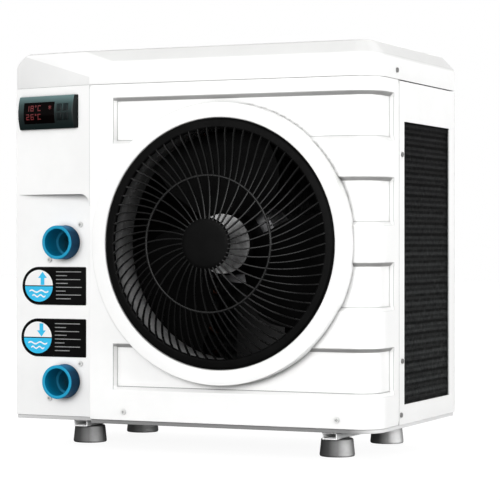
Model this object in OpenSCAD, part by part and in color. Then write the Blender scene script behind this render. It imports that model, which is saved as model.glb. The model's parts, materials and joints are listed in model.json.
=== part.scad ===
// Small pool heat pump: a white cabinet on rubber feet with a domed fan grille,
// two water sockets in a recessed bay, and a controller on its angled left face.
// The origin is on the floor, midway across the width and midway along the depth.
// +X is to the right, +Y to the rear and +Z up. Lengths are in millimetres.

/* [Cabinet] */
// Overall width of the cabinet
case_w = 473.5; // [471:0.5:479]
// Depth from the front panel's face to the rear panel's face
case_d = 274; // [274:1:280]
// Height from the floor to the top of the lid
case_h = 466; // [464:1:472]
// Radius of the rounded front right corner
corner_r = 30; // [26:1:32]
// Thickness of the moulded plastic walls
wall = 3; // [2.5:0.5:3]
// Thickness of the folded sheet metal
sheet = 1.5; // [1:0.5:1.5]

/* [Left bay] */
// Distance from the left side to the edge where the angled face starts
angled_w = 115; // [113:1:117]
// How far back the angled face runs at its left end
angled_drop = 28; // [26:1:30]
// Depth of the recessed connection bay
bay_depth = 27; // [25:1:29]
// Height of the bay's top edge above the floor
bay_top = 297; // [290:1:300]

/* [Fan and grille] */
// Distance of the fan axis from the middle of the cabinet
fan_x = 48.5; // [45.5:0.5:51.5]
// Height of the fan axis above the floor
fan_z = 238.5; // [236:0.5:241]
// Outer radius of the raised ring around the grille
ring_r = 161; // [158:1:162]
// Radius of the opening in the ring
opening_r = 143; // [141:1:145]
// How far the ring stands out of the front panel
ring_out = 12; // [10:1:14]
// How far the grille's hub disc stands out of the front panel
hub_out = 44; // [42:1:46]
// Number of ribs between the hub disc and the middle ring
rib_count = 36; // [24:2:40]
// Number of fan blades
blade_count = 3; // [3:1:5]

/* [Water sockets] */
// Bore radius of a socket, for glued 32 mm pipe
socket_bore_r = 16.1; // [16.05:0.05:16.25]
// Outer radius of a socket
socket_r = 20; // [19:0.5:20.5]
// How far a socket stands out of the bay's face
socket_out = 20.5; // [18:0.5:24]
// Height of the water outlet above the floor
outlet_z = 240; // [235:1:245]
// Height of the water inlet above the floor
inlet_z = 74.4; // [72:0.2:78]

/* [Feet and base] */
// Height of a rubber foot
foot_h = 20; // [18:1:24]
// Radius of a foot on the floor
foot_r = 20; // [18:1:22]
// Height of the rails between the feet and the base tray
rail_h = 8.3; // [8:0.1:10]

/* [Hidden] */
$fn = 48;

left_x = -case_w / 2;
right_x = case_w / 2;
edge_x = left_x + angled_w;
gland_out = 16;
front_y = -(case_d + gland_out - hub_out) / 2;
base_z = foot_h + rail_h;
tray_t = 2;
floor_z = base_z + tray_t;
panel_z = base_z + 4.5;
seam_z = case_h - 41;
skirt_z = case_h - 15.7;
joint_gap = 0.3;
snug = 0.02;
run_gap = 0.03;

// Angled face: its length, its turn about the vertical, and its normal's share along the depth
face_l = norm([angled_w, angled_drop]);
face_turn = -atan2(angled_drop, angled_w);
face_ny = -angled_w / face_l;

// Rails, feet and condensate drain
rail_x = [left_x + 83, right_x - 58.25];
rail_w = 18;
foot_y = [[61, 200], [30, 192]];
rail_over = 24;
drain_x = 61.5;
drain_y = 178;
drain_r = 8;
drain_bore_r = 6;
drain_neck_r = 9.5;
drain_low_z = 13;

// Front panel
wrap_y = 73.5;
band_depth = 5;
band_slope = 4.5;
band_pitch = 95.5;
band_h = 54;
band_end_y = 57;
band_left_x = edge_x + 31;
panel_screws = [[edge_x + 45, panel_z + 10], [right_x - 47, panel_z + 10]];
screw_r = 1.5;
screw_head_r = 2.8;
screw_head_h = 1.6;
tray_lip_top = base_z + 24;

// Grille
flange_in_r = 131;
mid_ring_r = 77;
mid_ring_out = 36;
hub_r = 30;
rib_w = 1.8;
rib_d = 3;
rib_sweep = 20;
flange_out = ring_out + 0.8;
duct_r = opening_r - 9;
duct_t = 2.4;
duct_back = 41;

// Right and rear panels, with their windows onto the coil
side_gap_z = seam_z - 1.4;
window_low_z = 54.8;
window_high_z = 377.9;
side_window_y = [90.6, 251.9];
rear_window_x = [-48.5, 199.5];
side_screws = [[82.5, 340], [82.5, 105], [79, 44]];
side_flange = 14;
rear_screw_x = [left_x + wall + side_flange / 2, right_x - side_flange / 2];
rear_screw_z = [46, 230, 412];

// Lid
bevel_inset = 12;
left_bevel = 19;
lid_screw_y = 65.4;
lid_screw_z = seam_z + 9.8;
tongue_top = seam_z + 17;
facet_low_z = seam_z + 8.8;
facet_edge_dx = 30;

// Coil
fin_t = 24;
fin_out_x = right_x - sheet - 4;
coil_x = fin_out_x - fin_t / 2;
coil_y = case_d - sheet - 4 - fin_t / 2;
coil_front_y = 88;
coil_left_x = -66.5;
coil_low_z = 36;
coil_high_z = 408;
coil_bend_r = 16;
baffle_y = case_d - 2 * sheet - 2 * joint_gap;
tube_r = 4.76;
tube_pitch = 25.4;
tube_rows = 14;
tube_low_z = 48;

// Fan and motor, by distance behind the front panel's face
fan_r = duct_r - 5;
fan_front = 4;
fan_depth = 38;
fan_hub_r = 36;
blade_t = 2.5;
blade_pitch = 28;
shaft_r = 4;
motor_r = 46;
motor_front = 54;
clamp_r = 34;
clamp_t = 2;
nut_len = 6;
motor_len = 58;
motor_wall = 3;
bearing_r = 11;
bearing_w = 8;
boss_r = 16;
boss_len = 10;
rotor_r = 24;
rotor_len = 32;
motor_bolt_ring = 37;
bracket_w = 62;
bracket_t = 2;
bracket_y = motor_front + motor_len;

// Partition and the pipe holes in it
part_x = edge_x + 23;
gas_hole_z = 266;
liquid_hole_z = 60;
pipe_hole_y = 236;

// Compressor, accumulator, reversing valve and capillary
comp_x = -170.5;
comp_y = 203;
comp_r = 46;
comp_foot_z = floor_z + 8;
comp_top = 236;
comp_foot_ring = 56;
comp_foot_turn = 75;
acc_x = -117.5;
acc_y = 158;
acc_r = 16;
valve_z = 290;
valve_r = 11;
valve_l = 54;
pipe_r = 4;
elbow_r = pipe_r + 0.5;

// Heat exchanger and flow switch
ex_x = left_x + 67.3;
ex_y = 97;
ex_r = 45;
ex_low = 42;
ex_high = 296;
ex_wall = 4;
titan_r = 29;
titan_tube_r = 5;
titan_low = 118;
titan_turns = 8;
titan_pitch = 18;
switch_r = 9;
pivot_x = ex_x + 14;
pivot_r = 1.5;
paddle_l = 28;
paddle_h = 18;
ear_z = 11;

// Pipe runs
valve_ports = [comp_x - 9, comp_x + 7, comp_x + 23];
port_low = valve_z - valve_r - 5;
port_high = valve_z + valve_r + 5;
riser_top = ex_high + 9;
cap_x = part_x - 12;
cap_low = 120;
cap_high = 176;
cap_coil_r = 8;

// Electrical box and power cable
box_low_z = 320;
box_high_z = 408;
box_x = [left_x + 8, part_x - 5];
box_y = [48, 246];
box_t = 2;
gland_x = comp_x + 7;
gland_z = 120;
gland_r = 8.5;
cable_r = 4.4;
cable_y = case_d - 9;
cable_z = 350;

// Sockets, in the bay
bay_in = bay_depth + wall;
bay_corner_r = 14;
flange_w = 56;
flange_t = 4;
tail_r = 18.9;
tail_len = 15;
gasket_t = 3;
port_r = 24;
stop_r = 13;
flange_screw = 21;

// Controller, in the angled face's own frame: X runs along the face up to its right edge
ctl_right = -17.6;
ctl_w = 93;
ctl_low_z = 375;
ctl_h = 39.4;
ctl_out = 6.5;
ctl_wall = 2.5;
ctl_front = ctl_out - ctl_wall;
win_x = [-100.5, -50.5];
win_z = [381.5, 407];
btn_w = 7.8;
btn_h = 8.4;
btn_x = [-42.9, -32.3];
btn_z = [389, 400];
btn_gap = 0.25;
btn_proud = 0.7;
board_top = 2;
board_t = 1.6;

// Stickers beside the sockets
label_t = 0.4;
label_h = 45.5;
label_right_x = left_x + 96;
label_l = [87, 88.5];
outlet_label_z = 187.8;
inlet_label_z = 125.8;

// ---------- shared shapes ----------

// Everything is laid out from the front panel's face and then moved to the row frame
module placed() translate([0, front_y, 0]) children();

// The angled face's line in plan, moved inwards by an inset: its depth at x, and its x at a depth
function angled_line_y(x, inset) = (edge_x - x) * angled_drop / angled_w - inset / face_ny;
function angled_line_x(y, inset) = edge_x - (y + inset / face_ny) * angled_w / angled_drop;

module cabinet_corner(inset) translate([right_x - corner_r, corner_r]) circle(corner_r - inset, $fn = 96);

module plan_upper(inset) {
    polygon([
        [left_x + inset, angled_line_y(left_x + inset, inset)],
        [angled_line_x(inset, inset), inset],
        [right_x - corner_r, inset],
        [right_x - corner_r, corner_r],
        [right_x - inset, corner_r],
        [right_x - inset, case_d - inset],
        [left_x + inset, case_d - inset]]);
    cabinet_corner(inset);
}

module plan_lower(inset) {
    polygon([
        [left_x + inset, bay_depth + inset],
        [edge_x + inset, bay_depth + inset],
        [edge_x + inset, inset],
        [right_x - corner_r, inset],
        [right_x - corner_r, corner_r],
        [right_x - inset, corner_r],
        [right_x - inset, case_d - inset],
        [left_x + inset, case_d - inset]]);
    cabinet_corner(inset);
}

module upper_shell(outer, inner) difference() {
    plan_upper(outer);
    plan_upper(inner);
}

module lower_shell(outer, inner) difference() {
    plan_lower(outer);
    plan_lower(inner);
}

// A block between two corners
module block(low, high) translate(low) cube(high - low);

// A cylinder along the depth, from y0 to y1
module rod_y(x, z, r, y0, y1) translate([x, y0, z]) rotate([-90, 0, 0]) cylinder(r = r, h = y1 - y0);

module tube_y(x, z, r_out, r_in, y0, y1) difference() {
    rod_y(x, z, r_out, y0, y1);
    rod_y(x, z, r_in, y0 - 1, y1 + 1);
}

// A pan-head screw: its head stands on the origin plane and points along +Z
module screw(length) {
    difference() {
        cylinder(r = screw_head_r, h = screw_head_h);
        translate([-screw_head_r * 0.6, -0.5, screw_head_h - 0.7]) cube([screw_head_r * 1.2, 1, 1]);
        translate([-0.5, -screw_head_r * 0.6, screw_head_h - 0.7]) cube([1, screw_head_r * 1.2, 1]);
    }
    translate([0, 0, -length]) cylinder(r = screw_r, h = length + 0.5);
}

module screw_hole(length) translate([0, 0, -length - 1]) cylinder(r = screw_r + 0.2, h = length + 2);

module facing_front(x, y, z) translate([x, y, z]) rotate([90, 0, 0]) children();
module facing_right(y, z) translate([right_x, y, z]) rotate([0, 90, 0]) children();
module facing_left(y, z) translate([left_x, y, z]) rotate([0, -90, 0]) children();
module facing_rear(x, z) translate([x, case_d, z]) rotate([-90, 0, 0]) children();

// The angled face's frame: the origin is on the vertical edge, and -Y points out of the face
module on_face() translate([edge_x, 0, 0]) rotate([0, 0, face_turn]) children();

// A straight run of pipe from a to b
module run(a, b, r) {
    d = b - a;
    translate(a)
        rotate([0, acos(d[2] / norm(d)), atan2(d[1], d[0])])
            cylinder(r = r, h = norm(d), $fn = 24);
}

// A pipe through a list of points, with a slightly fuller elbow at each bend
module pipe(points, r) {
    for (i = [1:len(points) - 1]) run(points[i - 1], points[i], r);
    for (i = [1:len(points) - 2]) translate(points[i]) sphere(r + 0.5, $fn = 24);
}

// ---------- base ----------

module each_foot() for (i = [0, 1]) for (y = foot_y[i]) translate([rail_x[i], y, 0]) children();

module base_tray() color("gainsboro") placed() difference() {
    union() {
        translate([0, 0, base_z]) linear_extrude(tray_t) plan_lower(1.5);
        translate([0, 0, base_z]) linear_extrude(panel_z - joint_gap - base_z) lower_shell(1.5, 5.5);
        translate([0, 0, base_z]) linear_extrude(tray_lip_top - base_z)
            lower_shell(wall + joint_gap, wall + joint_gap + 1.6);
    }
    each_foot() cylinder(r = 4.2, h = tray_lip_top);
    translate([drain_x, drain_y, 0]) cylinder(r = drain_neck_r + 0.2, h = tray_lip_top);
    for (p = panel_screws) facing_front(p[0], 0, p[1]) screw_hole(8);
    facing_right(side_screws[2][0], side_screws[2][1]) screw_hole(8);
    for (x = rear_screw_x) facing_rear(x, rear_screw_z[0]) screw_hole(8);
    block([ex_x - flange_w / 2 - 1, bay_depth + wall, inlet_z - flange_w / 2 - 1],
        [ex_x + flange_w / 2 + 1, bay_in + flange_t + 1, tray_lip_top + 1]);
}

module rail(i) placed() difference() {
    block([rail_x[i] - rail_w / 2, foot_y[i][0] - rail_over, foot_h],
        [rail_x[i] + rail_w / 2, foot_y[i][1] + rail_over, base_z]);
    block([rail_x[i] - rail_w / 2 + sheet, foot_y[i][0] - rail_over - 1, foot_h + sheet],
        [rail_x[i] + rail_w / 2 - sheet, foot_y[i][1] + rail_over + 1, base_z - sheet]);
    each_foot() cylinder(r = 4.2, h = base_z + 1);
}

module rail_left() color("lightgray") rail(0);
module rail_right() color("lightgray") rail(1);

module rubber_feet() color("dimgray") placed() each_foot() difference() {
    cylinder(r1 = foot_r, r2 = foot_r - 2, h = foot_h);
    translate([0, 0, -1]) cylinder(r = 4.2, h = foot_h + 2);
    translate([0, 0, -1]) cylinder(r = 8, h = 9);
}

module foot_bolts() color("silver") placed() each_foot() {
    translate([0, 0, 2.5]) cylinder(r = 7, h = 5.5, $fn = 6);
    translate([0, 0, 7]) cylinder(r = 3.9, h = floor_z + 8 - 7);
}

module foot_nuts() color("silver") placed() each_foot() translate([0, 0, floor_z]) difference() {
    cylinder(r = 7.2, h = 6, $fn = 6);
    translate([0, 0, -1]) cylinder(r = 3.9 + snug, h = 8);
}

module drain_nozzle() color("black") placed() translate([drain_x, drain_y, 0]) difference() {
    union() {
        translate([0, 0, drain_low_z]) cylinder(r = drain_r, h = floor_z - drain_low_z);
        translate([0, 0, base_z - joint_gap]) cylinder(r = drain_neck_r, h = tray_t + 1);
        translate([0, 0, floor_z]) cylinder(r = 14, h = 2);
    }
    cylinder(r = drain_bore_r, h = floor_z + 5);
}

// ---------- front panel ----------

// Cross-section of a band: depth against height, with sloped edges, cut from depth d0 to depth d1
function band_section(d0, d1, grow) = [
    [d0, -band_h / 2 - grow],
    [d1, -band_h / 2 + band_slope * d1 / band_depth - grow],
    [d1, band_h / 2 - band_slope * d1 / band_depth + grow],
    [d0, band_h / 2 + grow]];

// The band's section swept along the front, round the corner and along the side
module band_sweep(section, x0, y1) {
    cx = right_x - corner_r;
    translate([x0, 0, 0]) rotate([90, 0, 90]) linear_extrude(cx - x0) polygon(section);
    translate([cx, corner_r, 0]) rotate([0, 0, -90]) rotate_extrude(angle = 90, $fn = 96)
        polygon([for (p = section) [corner_r - p[0], p[1]]]);
    translate([right_x, corner_r, 0]) rotate([90, 0, 180])
        linear_extrude(y1 - corner_r) polygon(section);
}

function band_z(i) = fan_z + (i - 1.5) * band_pitch;
function band_start(i) = (i == 0 || i == 3) ? band_left_x : fan_x + 100;

module panel_zone() translate([edge_x + joint_gap, -1, 0]) cube([case_w, wrap_y + 1, case_h]);

module front_panel() color("white") placed() difference() {
    union() {
        intersection() {
            union() {
                translate([0, 0, panel_z]) linear_extrude(seam_z - joint_gap - panel_z) upper_shell(0, wall);
                translate([0, 0, seam_z - 5]) linear_extrude(5 - joint_gap) upper_shell(wall, wall + 2.4);
                translate([0, 0, seam_z - 5]) linear_extrude(tongue_top - seam_z + 5)
                    upper_shell(wall + 0.4, wall + 2.4);
            }
            panel_zone();
        }
        for (i = [0:3]) translate([0, 0, band_z(i)])
            band_sweep([[wall - 0.5, -band_h / 2 - 2], [band_depth + wall, -band_h / 2 + 2],
                [band_depth + wall, band_h / 2 - 2], [wall - 0.5, band_h / 2 + 2]],
                band_start(i) - 3, band_end_y + 3);
        rod_y(fan_x, fan_z, ring_r, -ring_out, band_depth + wall);
    }
    for (i = [0:3]) translate([0, 0, band_z(i)])
        difference() {
            band_sweep(band_section(0, band_depth, 0), band_start(i), band_end_y);
            rod_y(fan_x, fan_z, ring_r, -ring_out, band_depth + wall);
        }
    rod_y(fan_x, fan_z, ring_r - wall, -ring_out + wall, band_depth + wall + 1);
    rod_y(fan_x, fan_z, opening_r, -ring_out - 1, band_depth);
    for (p = panel_screws) facing_front(p[0], 0, p[1]) screw_hole(8);
    facing_right(lid_screw_y, lid_screw_z) screw_hole(10);
    above_facet(wall + joint_gap);
}

module front_panel_screws() color("silver") placed()
    for (p = panel_screws) facing_front(p[0], 0, p[1]) screw(8);

// ---------- grille ----------

// A rib from radius r0 to radius r1, leaning from depth y0 to y1 and swept through the given angle
module rib(r0, y0, r1, y1, a0, a1) {
    p0 = [r0 * sin(a0), y0, r0 * cos(a0)];
    p1 = [r1 * sin(a1), y1, r1 * cos(a1)];
    d = p1 - p0;
    flat = norm([d[0], d[2]]);
    translate(p0) rotate([0, -atan2(d[2], d[0]), 0]) rotate([0, 0, atan2(d[1], flat)])
        translate([0, -rib_d / 2, -rib_w / 2]) cube([norm(d), rib_d, rib_w]);
}

module ring_band(r_in, r_out, y0, y1) rotate([90, 0, 0]) translate([0, 0, -y1]) difference() {
    cylinder(r = r_out, h = y1 - y0, $fn = 96);
    translate([0, 0, -1]) cylinder(r = r_in, h = y1 - y0 + 2, $fn = 96);
}

function sweep_at(r) = -rib_sweep * (r - hub_r) / (flange_in_r - hub_r);

// The duct's section by radius and distance in front of the panel's face: a bell mouth
// behind the flange, then a straight run past the blades
module fan_duct() rotate([90, 0, 0]) rotate_extrude($fn = 96) polygon([
    [opening_r - 4, flange_out - 1],
    [opening_r - 4, -2],
    [duct_r + 2, -7],
    [duct_r, -14],
    [duct_r, -duct_back],
    [duct_r + duct_t, -duct_back],
    [duct_r + duct_t, -15],
    [duct_r + duct_t + 2, -9],
    [opening_r - 0.5, -3],
    [opening_r - 0.5, flange_out - 1]]);

module fan_grille() color("#202020") placed() translate([fan_x, 0, fan_z]) {
    ring_band(flange_in_r, opening_r - 0.5, -flange_out, -flange_out + 4);
    fan_duct();
    ring_band(mid_ring_r - 1.2, mid_ring_r + 1.2, -mid_ring_out - 1.6, -mid_ring_out + 1.6);
    ring_band(0, hub_r, -hub_out, -hub_out + 3);
    for (i = [0:rib_count - 1]) {
        a = i * 360 / rib_count;
        rib(hub_r - 2, -hub_out + 1.6, mid_ring_r, -mid_ring_out, a, a + sweep_at(mid_ring_r));
    }
    for (i = [0:2 * rib_count - 1]) {
        a = i * 180 / rib_count + sweep_at(mid_ring_r);
        rib(mid_ring_r, -mid_ring_out, flange_in_r + 2, -flange_out + 2, a,
            a + sweep_at(flange_in_r) - sweep_at(mid_ring_r));
    }
}

// ---------- other panels ----------

module left_zone() translate([left_x - 1, -1, 0])
    cube([angled_w + 1, case_d - sheet - joint_gap + 1, case_h]);

// The bay's right wall, behind the front panel, and the rounded corner above it
module bay_return() {
    block([edge_x - 0.5, wall + joint_gap, panel_z], [edge_x + wall, bay_in, bay_top + wall]);
    intersection() {
        translate([edge_x, bay_in, bay_top]) rotate([90, 0, 0]) linear_extrude(bay_in) difference() {
            translate([-bay_corner_r, -bay_corner_r]) square(bay_corner_r + 0.5);
            translate([-bay_corner_r, -bay_corner_r]) circle(bay_corner_r);
        }
        linear_extrude(case_h) plan_upper(0);
        translate([left_x, -1, 0]) cube([angled_w, case_d, case_h]);
    }
}

module left_panel() color("whitesmoke") placed() difference() {
    union() {
        bay_return();
        intersection() {
            union() {
                translate([0, 0, bay_top]) linear_extrude(seam_z - joint_gap - bay_top) upper_shell(0, wall);
                translate([0, 0, seam_z - 5]) linear_extrude(5 - joint_gap) upper_shell(wall, wall + 2.4);
                translate([0, 0, seam_z - 5]) linear_extrude(tongue_top - seam_z + 5)
                    upper_shell(wall + 0.4, wall + 2.4);
                translate([0, 0, panel_z]) linear_extrude(bay_top - panel_z) lower_shell(0, wall);
                translate([0, 0, bay_top]) linear_extrude(wall) difference() {
                    plan_upper(0);
                    plan_lower(wall);
                }
                block([left_x + wall - 1, case_d - sheet - joint_gap - sheet, panel_z],
                    [left_x + wall + side_flange, case_d - sheet - joint_gap, side_gap_z]);
            }
            left_zone();
        }
    }
    for (z = [inlet_z, outlet_z]) {
        rod_y(ex_x, z, socket_r + 0.4, bay_depth - 1, bay_in + 1);
        for (s = [-1, 1])
            facing_front(ex_x + s * flange_screw, bay_depth, z + s * flange_screw) screw_hole(8);
    }
    on_face() block([ctl_right - ctl_w + 20, -1, ctl_low_z + 10],
        [ctl_right - 20, wall + 1, ctl_low_z + ctl_h - 10]);
    facing_left(lid_screw_y, lid_screw_z) screw_hole(10);
    for (z = rear_screw_z) facing_rear(rear_screw_x[0], z) screw_hole(6);
    block([left_x + wall + side_flange, case_d - wall - 3, 0], [edge_x + 1, case_d, case_h]);
    above_facet(wall + joint_gap);
}

module right_panel() color("whitesmoke") placed() difference() {
    union() {
        block([right_x - sheet, wrap_y + joint_gap, panel_z],
            [right_x, case_d - sheet - joint_gap, side_gap_z]);
        block([right_x - side_flange, case_d - 2 * sheet - joint_gap, panel_z],
            [right_x, case_d - sheet - joint_gap, side_gap_z]);
    }
    block([right_x - 5, side_window_y[0], window_low_z], [right_x + 1, side_window_y[1], window_high_z]);
    for (p = side_screws) facing_right(p[0], p[1]) screw_hole(6);
    for (z = rear_screw_z) facing_rear(rear_screw_x[1], z) screw_hole(6);
}

module right_panel_screws() color("silver") placed() for (p = side_screws)
    facing_right(p[0], p[1]) screw(p[1] < tray_lip_top ? 6 : 4);

module rear_panel() color("whitesmoke") placed() difference() {
    block([left_x, case_d - sheet, panel_z], [right_x, case_d, side_gap_z]);
    block([rear_window_x[0], case_d - sheet - 1, window_low_z],
        [rear_window_x[1], case_d + 1, window_high_z]);
    for (x = rear_screw_x) for (z = rear_screw_z) facing_rear(x, z) screw_hole(6);
    rod_y(gland_x, gland_z, gland_r + 0.2, case_d - 5, case_d + 5);
}

module rear_panel_screws() color("silver") placed()
    for (x = rear_screw_x) for (z = rear_screw_z) facing_rear(x, z) screw(5);

// ---------- lid ----------

// Plan of the lid's flat top: bevelled on the front, right, rear and left, but not on the angled face
module plan_top(inset) {
    polygon([
        [left_x + left_bevel, angled_line_y(left_x + left_bevel, inset)],
        [angled_line_x(bevel_inset, inset), bevel_inset],
        [right_x - corner_r, bevel_inset],
        [right_x - corner_r, corner_r],
        [right_x - bevel_inset, corner_r],
        [right_x - bevel_inset, case_d - bevel_inset],
        [left_x + left_bevel, case_d - bevel_inset]]);
    translate([right_x - corner_r, corner_r]) circle(corner_r - bevel_inset, $fn = 96);
}

// Half space under the facet that cuts the lid's front left corner
facet_a = [edge_x, 0, facet_low_z];
facet_b = [edge_x + facet_edge_dx, 0, skirt_z];
facet_c = [left_x + 25, angled_line_y(left_x + 25, 0), case_h - 6];
facet_cross = cross(facet_c - facet_a, facet_b - facet_a);
facet_n = facet_cross / norm(facet_cross) * (facet_cross[2] > 0 ? 1 : -1);

module above_facet(inset) translate(facet_a - facet_n * inset)
    rotate([0, acos(facet_n[2]), atan2(facet_n[1], facet_n[0])])
        translate([-150, -200, 0]) cube([300, 400, 150]);

module lid_body(inset, low) difference() {
    union() {
        translate([0, 0, low]) linear_extrude(skirt_z - low) plan_upper(inset);
        hull() {
            translate([0, 0, skirt_z - 0.5]) linear_extrude(0.5) plan_upper(inset);
            translate([0, 0, case_h - inset - 0.5]) linear_extrude(0.5) plan_top(inset);
        }
    }
    above_facet(inset);
}

module lid() color("white") placed() difference() {
    lid_body(0, seam_z);
    lid_body(wall, seam_z - 1);
    facing_right(lid_screw_y, lid_screw_z) screw_hole(10);
    facing_left(lid_screw_y, lid_screw_z) screw_hole(10);
}

module lid_screws() color("silver") placed() {
    facing_right(lid_screw_y, lid_screw_z) screw(6);
    facing_left(lid_screw_y, lid_screw_z) screw(6);
}

// ---------- coil and partition ----------

function row_z(i) = tube_low_z + i * tube_pitch;
function coil_cx() = coil_x - coil_bend_r;
function coil_cy() = coil_y - coil_bend_r;

// One L-shaped tube: along the side, round the corner and along the rear
module coil_row(r, z) {
    rod_y(coil_x, z, r, coil_front_y - 8, coil_cy());
    translate([coil_cx(), coil_cy(), z]) rotate_extrude(angle = 90) translate([coil_bend_r, 0]) circle(r);
    translate([coil_left_x - 8, coil_y, z]) rotate([0, 90, 0])
        cylinder(r = r, h = coil_cx() - coil_left_x + 8);
}

module hairpin() rotate_extrude(angle = 180) translate([tube_pitch / 2, 0]) circle(tube_r);

module evaporator_tubes() color("peru") placed() {
    for (i = [0:tube_rows - 1]) coil_row(tube_r, row_z(i));
    for (i = [0:2:tube_rows - 2]) translate([coil_x, coil_front_y - 8, row_z(i) + tube_pitch / 2])
        rotate([0, 90, 0]) rotate([0, 0, 180]) hairpin();
    for (i = [1:2:tube_rows - 3]) translate([coil_left_x - 8, coil_y, row_z(i) + tube_pitch / 2])
        rotate([90, 90, 0]) rotate([0, 0, 180]) hairpin();
}

module coil_cut() for (i = [0:tube_rows - 1]) coil_row(tube_r + 0.05, row_z(i));

module evaporator_fins() color("#303030") placed() difference() {
    union() {
        block([fin_out_x - fin_t, coil_front_y, coil_low_z], [fin_out_x, coil_cy(), coil_high_z]);
        translate([coil_cx(), coil_cy(), coil_low_z]) intersection() {
            difference() {
                cylinder(r = coil_bend_r + fin_t / 2, h = coil_high_z - coil_low_z, $fn = 96);
                translate([0, 0, -1]) cylinder(r = coil_bend_r - fin_t / 2, h = coil_high_z, $fn = 96);
            }
            cube([2 * coil_bend_r, 2 * coil_bend_r, coil_high_z]);
        }
        block([coil_left_x, coil_y - fin_t / 2, coil_low_z], [coil_cx(), coil_y + fin_t / 2, coil_high_z]);
    }
    coil_cut();
}

// The end plates and the baffle that stops air slipping past the coil's bend
module coil_end_plates() color("silver") placed() difference() {
    union() {
        difference() {
            block([coil_cx(), baffle_y - sheet, tray_lip_top + 0.5],
                [right_x - sheet, baffle_y, coil_high_z]);
            rod_y(rear_screw_x[1], rear_screw_z[1], 3, baffle_y - 5, baffle_y + 5);
        }
        block([right_x - 2 * sheet, baffle_y - 16, tray_lip_top + 0.5],
            [right_x - sheet, baffle_y, coil_high_z]);
        block([fin_out_x - fin_t, coil_front_y - sheet - 0.2, floor_z],
            [fin_out_x, coil_front_y - 0.2, coil_high_z]);
        block([coil_left_x - sheet - 0.2, coil_y - fin_t / 2, floor_z],
            [coil_left_x - 0.2, coil_y + fin_t / 2, coil_high_z]);
    }
    coil_cut();
}

module partition_plate() color("lightgray") placed() difference() {
    union() {
        block([part_x, 34, floor_z], [part_x + sheet, case_d - 8, seam_z - 12]);
        block([part_x, 34, floor_z], [part_x + 14, case_d - 8, floor_z + sheet]);
    }
    for (z = [gas_hole_z, liquid_hole_z]) translate([part_x - 1, pipe_hole_y, z]) rotate([0, 90, 0])
        cylinder(r = pipe_r + 3, h = 5);
}

// ---------- fan and motor ----------

module axial_fan() color("dimgray") placed() difference() {
    union() {
        rod_y(fan_x, fan_z, fan_hub_r, fan_front, fan_front + fan_depth);
        intersection() {
            tube_y(fan_x, fan_z, fan_r, fan_hub_r - 2, fan_front + 2, fan_front + fan_depth - 2);
            translate([fan_x, fan_front + fan_depth / 2, fan_z]) for (i = [0:blade_count - 1])
                rotate([0, i * 360 / blade_count, 0]) rotate([blade_pitch, 0, 0])
                    translate([0, -blade_t / 2, -60]) cube([fan_r + 10, blade_t, 120]);
        }
    }
    rod_y(fan_x, fan_z, fan_hub_r - 3, fan_front + 12, fan_front + fan_depth + 1);
    rod_y(fan_x, fan_z, shaft_r + snug, fan_front - 1, fan_front + fan_depth + 1);
}

module fan_shaft() color("silver") placed()
    rod_y(fan_x, fan_z, shaft_r, fan_front - clamp_t - nut_len - 2, motor_front + motor_len - 3);

// The nut and the clamp disc it presses against the fan's hub
module fan_nut() color("silver") placed() difference() {
    union() {
        translate([fan_x, fan_front - clamp_t - nut_len, fan_z]) rotate([-90, 0, 0])
            cylinder(r = 7.5, h = nut_len + 1, $fn = 6);
        rod_y(fan_x, fan_z, clamp_r, fan_front - clamp_t, fan_front - 0.05);
    }
    rod_y(fan_x, fan_z, shaft_r + snug, fan_front - clamp_t - nut_len - 1, fan_front + 1);
}

module motor_rotor() color("gray") placed()
    tube_y(fan_x, fan_z, rotor_r, shaft_r + snug, motor_front + 14, motor_front + 14 + rotor_len);

module motor_housing() color("silver") placed() difference() {
    rod_y(fan_x, fan_z, motor_r, motor_front, motor_front + motor_len - motor_wall - 1);
    difference() {
        rod_y(fan_x, fan_z, motor_r - motor_wall, motor_front + motor_wall, motor_front + motor_len);
        rod_y(fan_x, fan_z, boss_r, motor_front, motor_front + boss_len);
    }
    rod_y(fan_x, fan_z, bearing_r + snug, motor_front + 1, motor_front + motor_len);
    rod_y(fan_x, fan_z, shaft_r + 2, motor_front - 1, motor_front + 2);
}

module motor_end_cap() color("silver") placed() difference() {
    union() {
        rod_y(fan_x, fan_z, motor_r, motor_front + motor_len - motor_wall - 1, motor_front + motor_len);
        rod_y(fan_x, fan_z, boss_r, motor_front + motor_len - boss_len, motor_front + motor_len);
    }
    rod_y(fan_x, fan_z, bearing_r + snug, motor_front + motor_len - boss_len - 1,
        motor_front + motor_len - 1.9);
    motor_bolt_holes();
}

module motor_bolt_holes() for (i = [0:3]) {
    a = 45 + i * 90;
    rod_y(fan_x + motor_bolt_ring * cos(a) * 0.7, fan_z + motor_bolt_ring * sin(a), 2.6,
        motor_front + motor_len - 6, bracket_y + 6);
}

module motor_stator() color("peru") placed()
    tube_y(fan_x, fan_z, motor_r - motor_wall - 0.05, rotor_r + 0.8, motor_front + 14,
        motor_front + 14 + rotor_len);

module motor_bearings() color("silver") placed() {
    tube_y(fan_x, fan_z, bearing_r, shaft_r + run_gap, motor_front + 1.5, motor_front + 1.5 + bearing_w);
    tube_y(fan_x, fan_z, bearing_r, shaft_r + run_gap, motor_front + motor_len - 2 - bearing_w,
        motor_front + motor_len - 2);
}

module motor_bracket() color("lightgray") placed() difference() {
    union() {
        block([fan_x - bracket_w / 2, bracket_y, floor_z],
            [fan_x + bracket_w / 2, bracket_y + bracket_t, seam_z - 14]);
        block([fan_x - bracket_w / 2, bracket_y, floor_z],
            [fan_x + bracket_w / 2, bracket_y + 26, floor_z + bracket_t]);
        for (s = [-1, 1]) block([fan_x + s * (bracket_w / 2 - 1) - 1, bracket_y, floor_z],
            [fan_x + s * (bracket_w / 2 - 1) + 1, bracket_y + 12, seam_z - 14]);
    }
    motor_bolt_holes();
}

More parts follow.
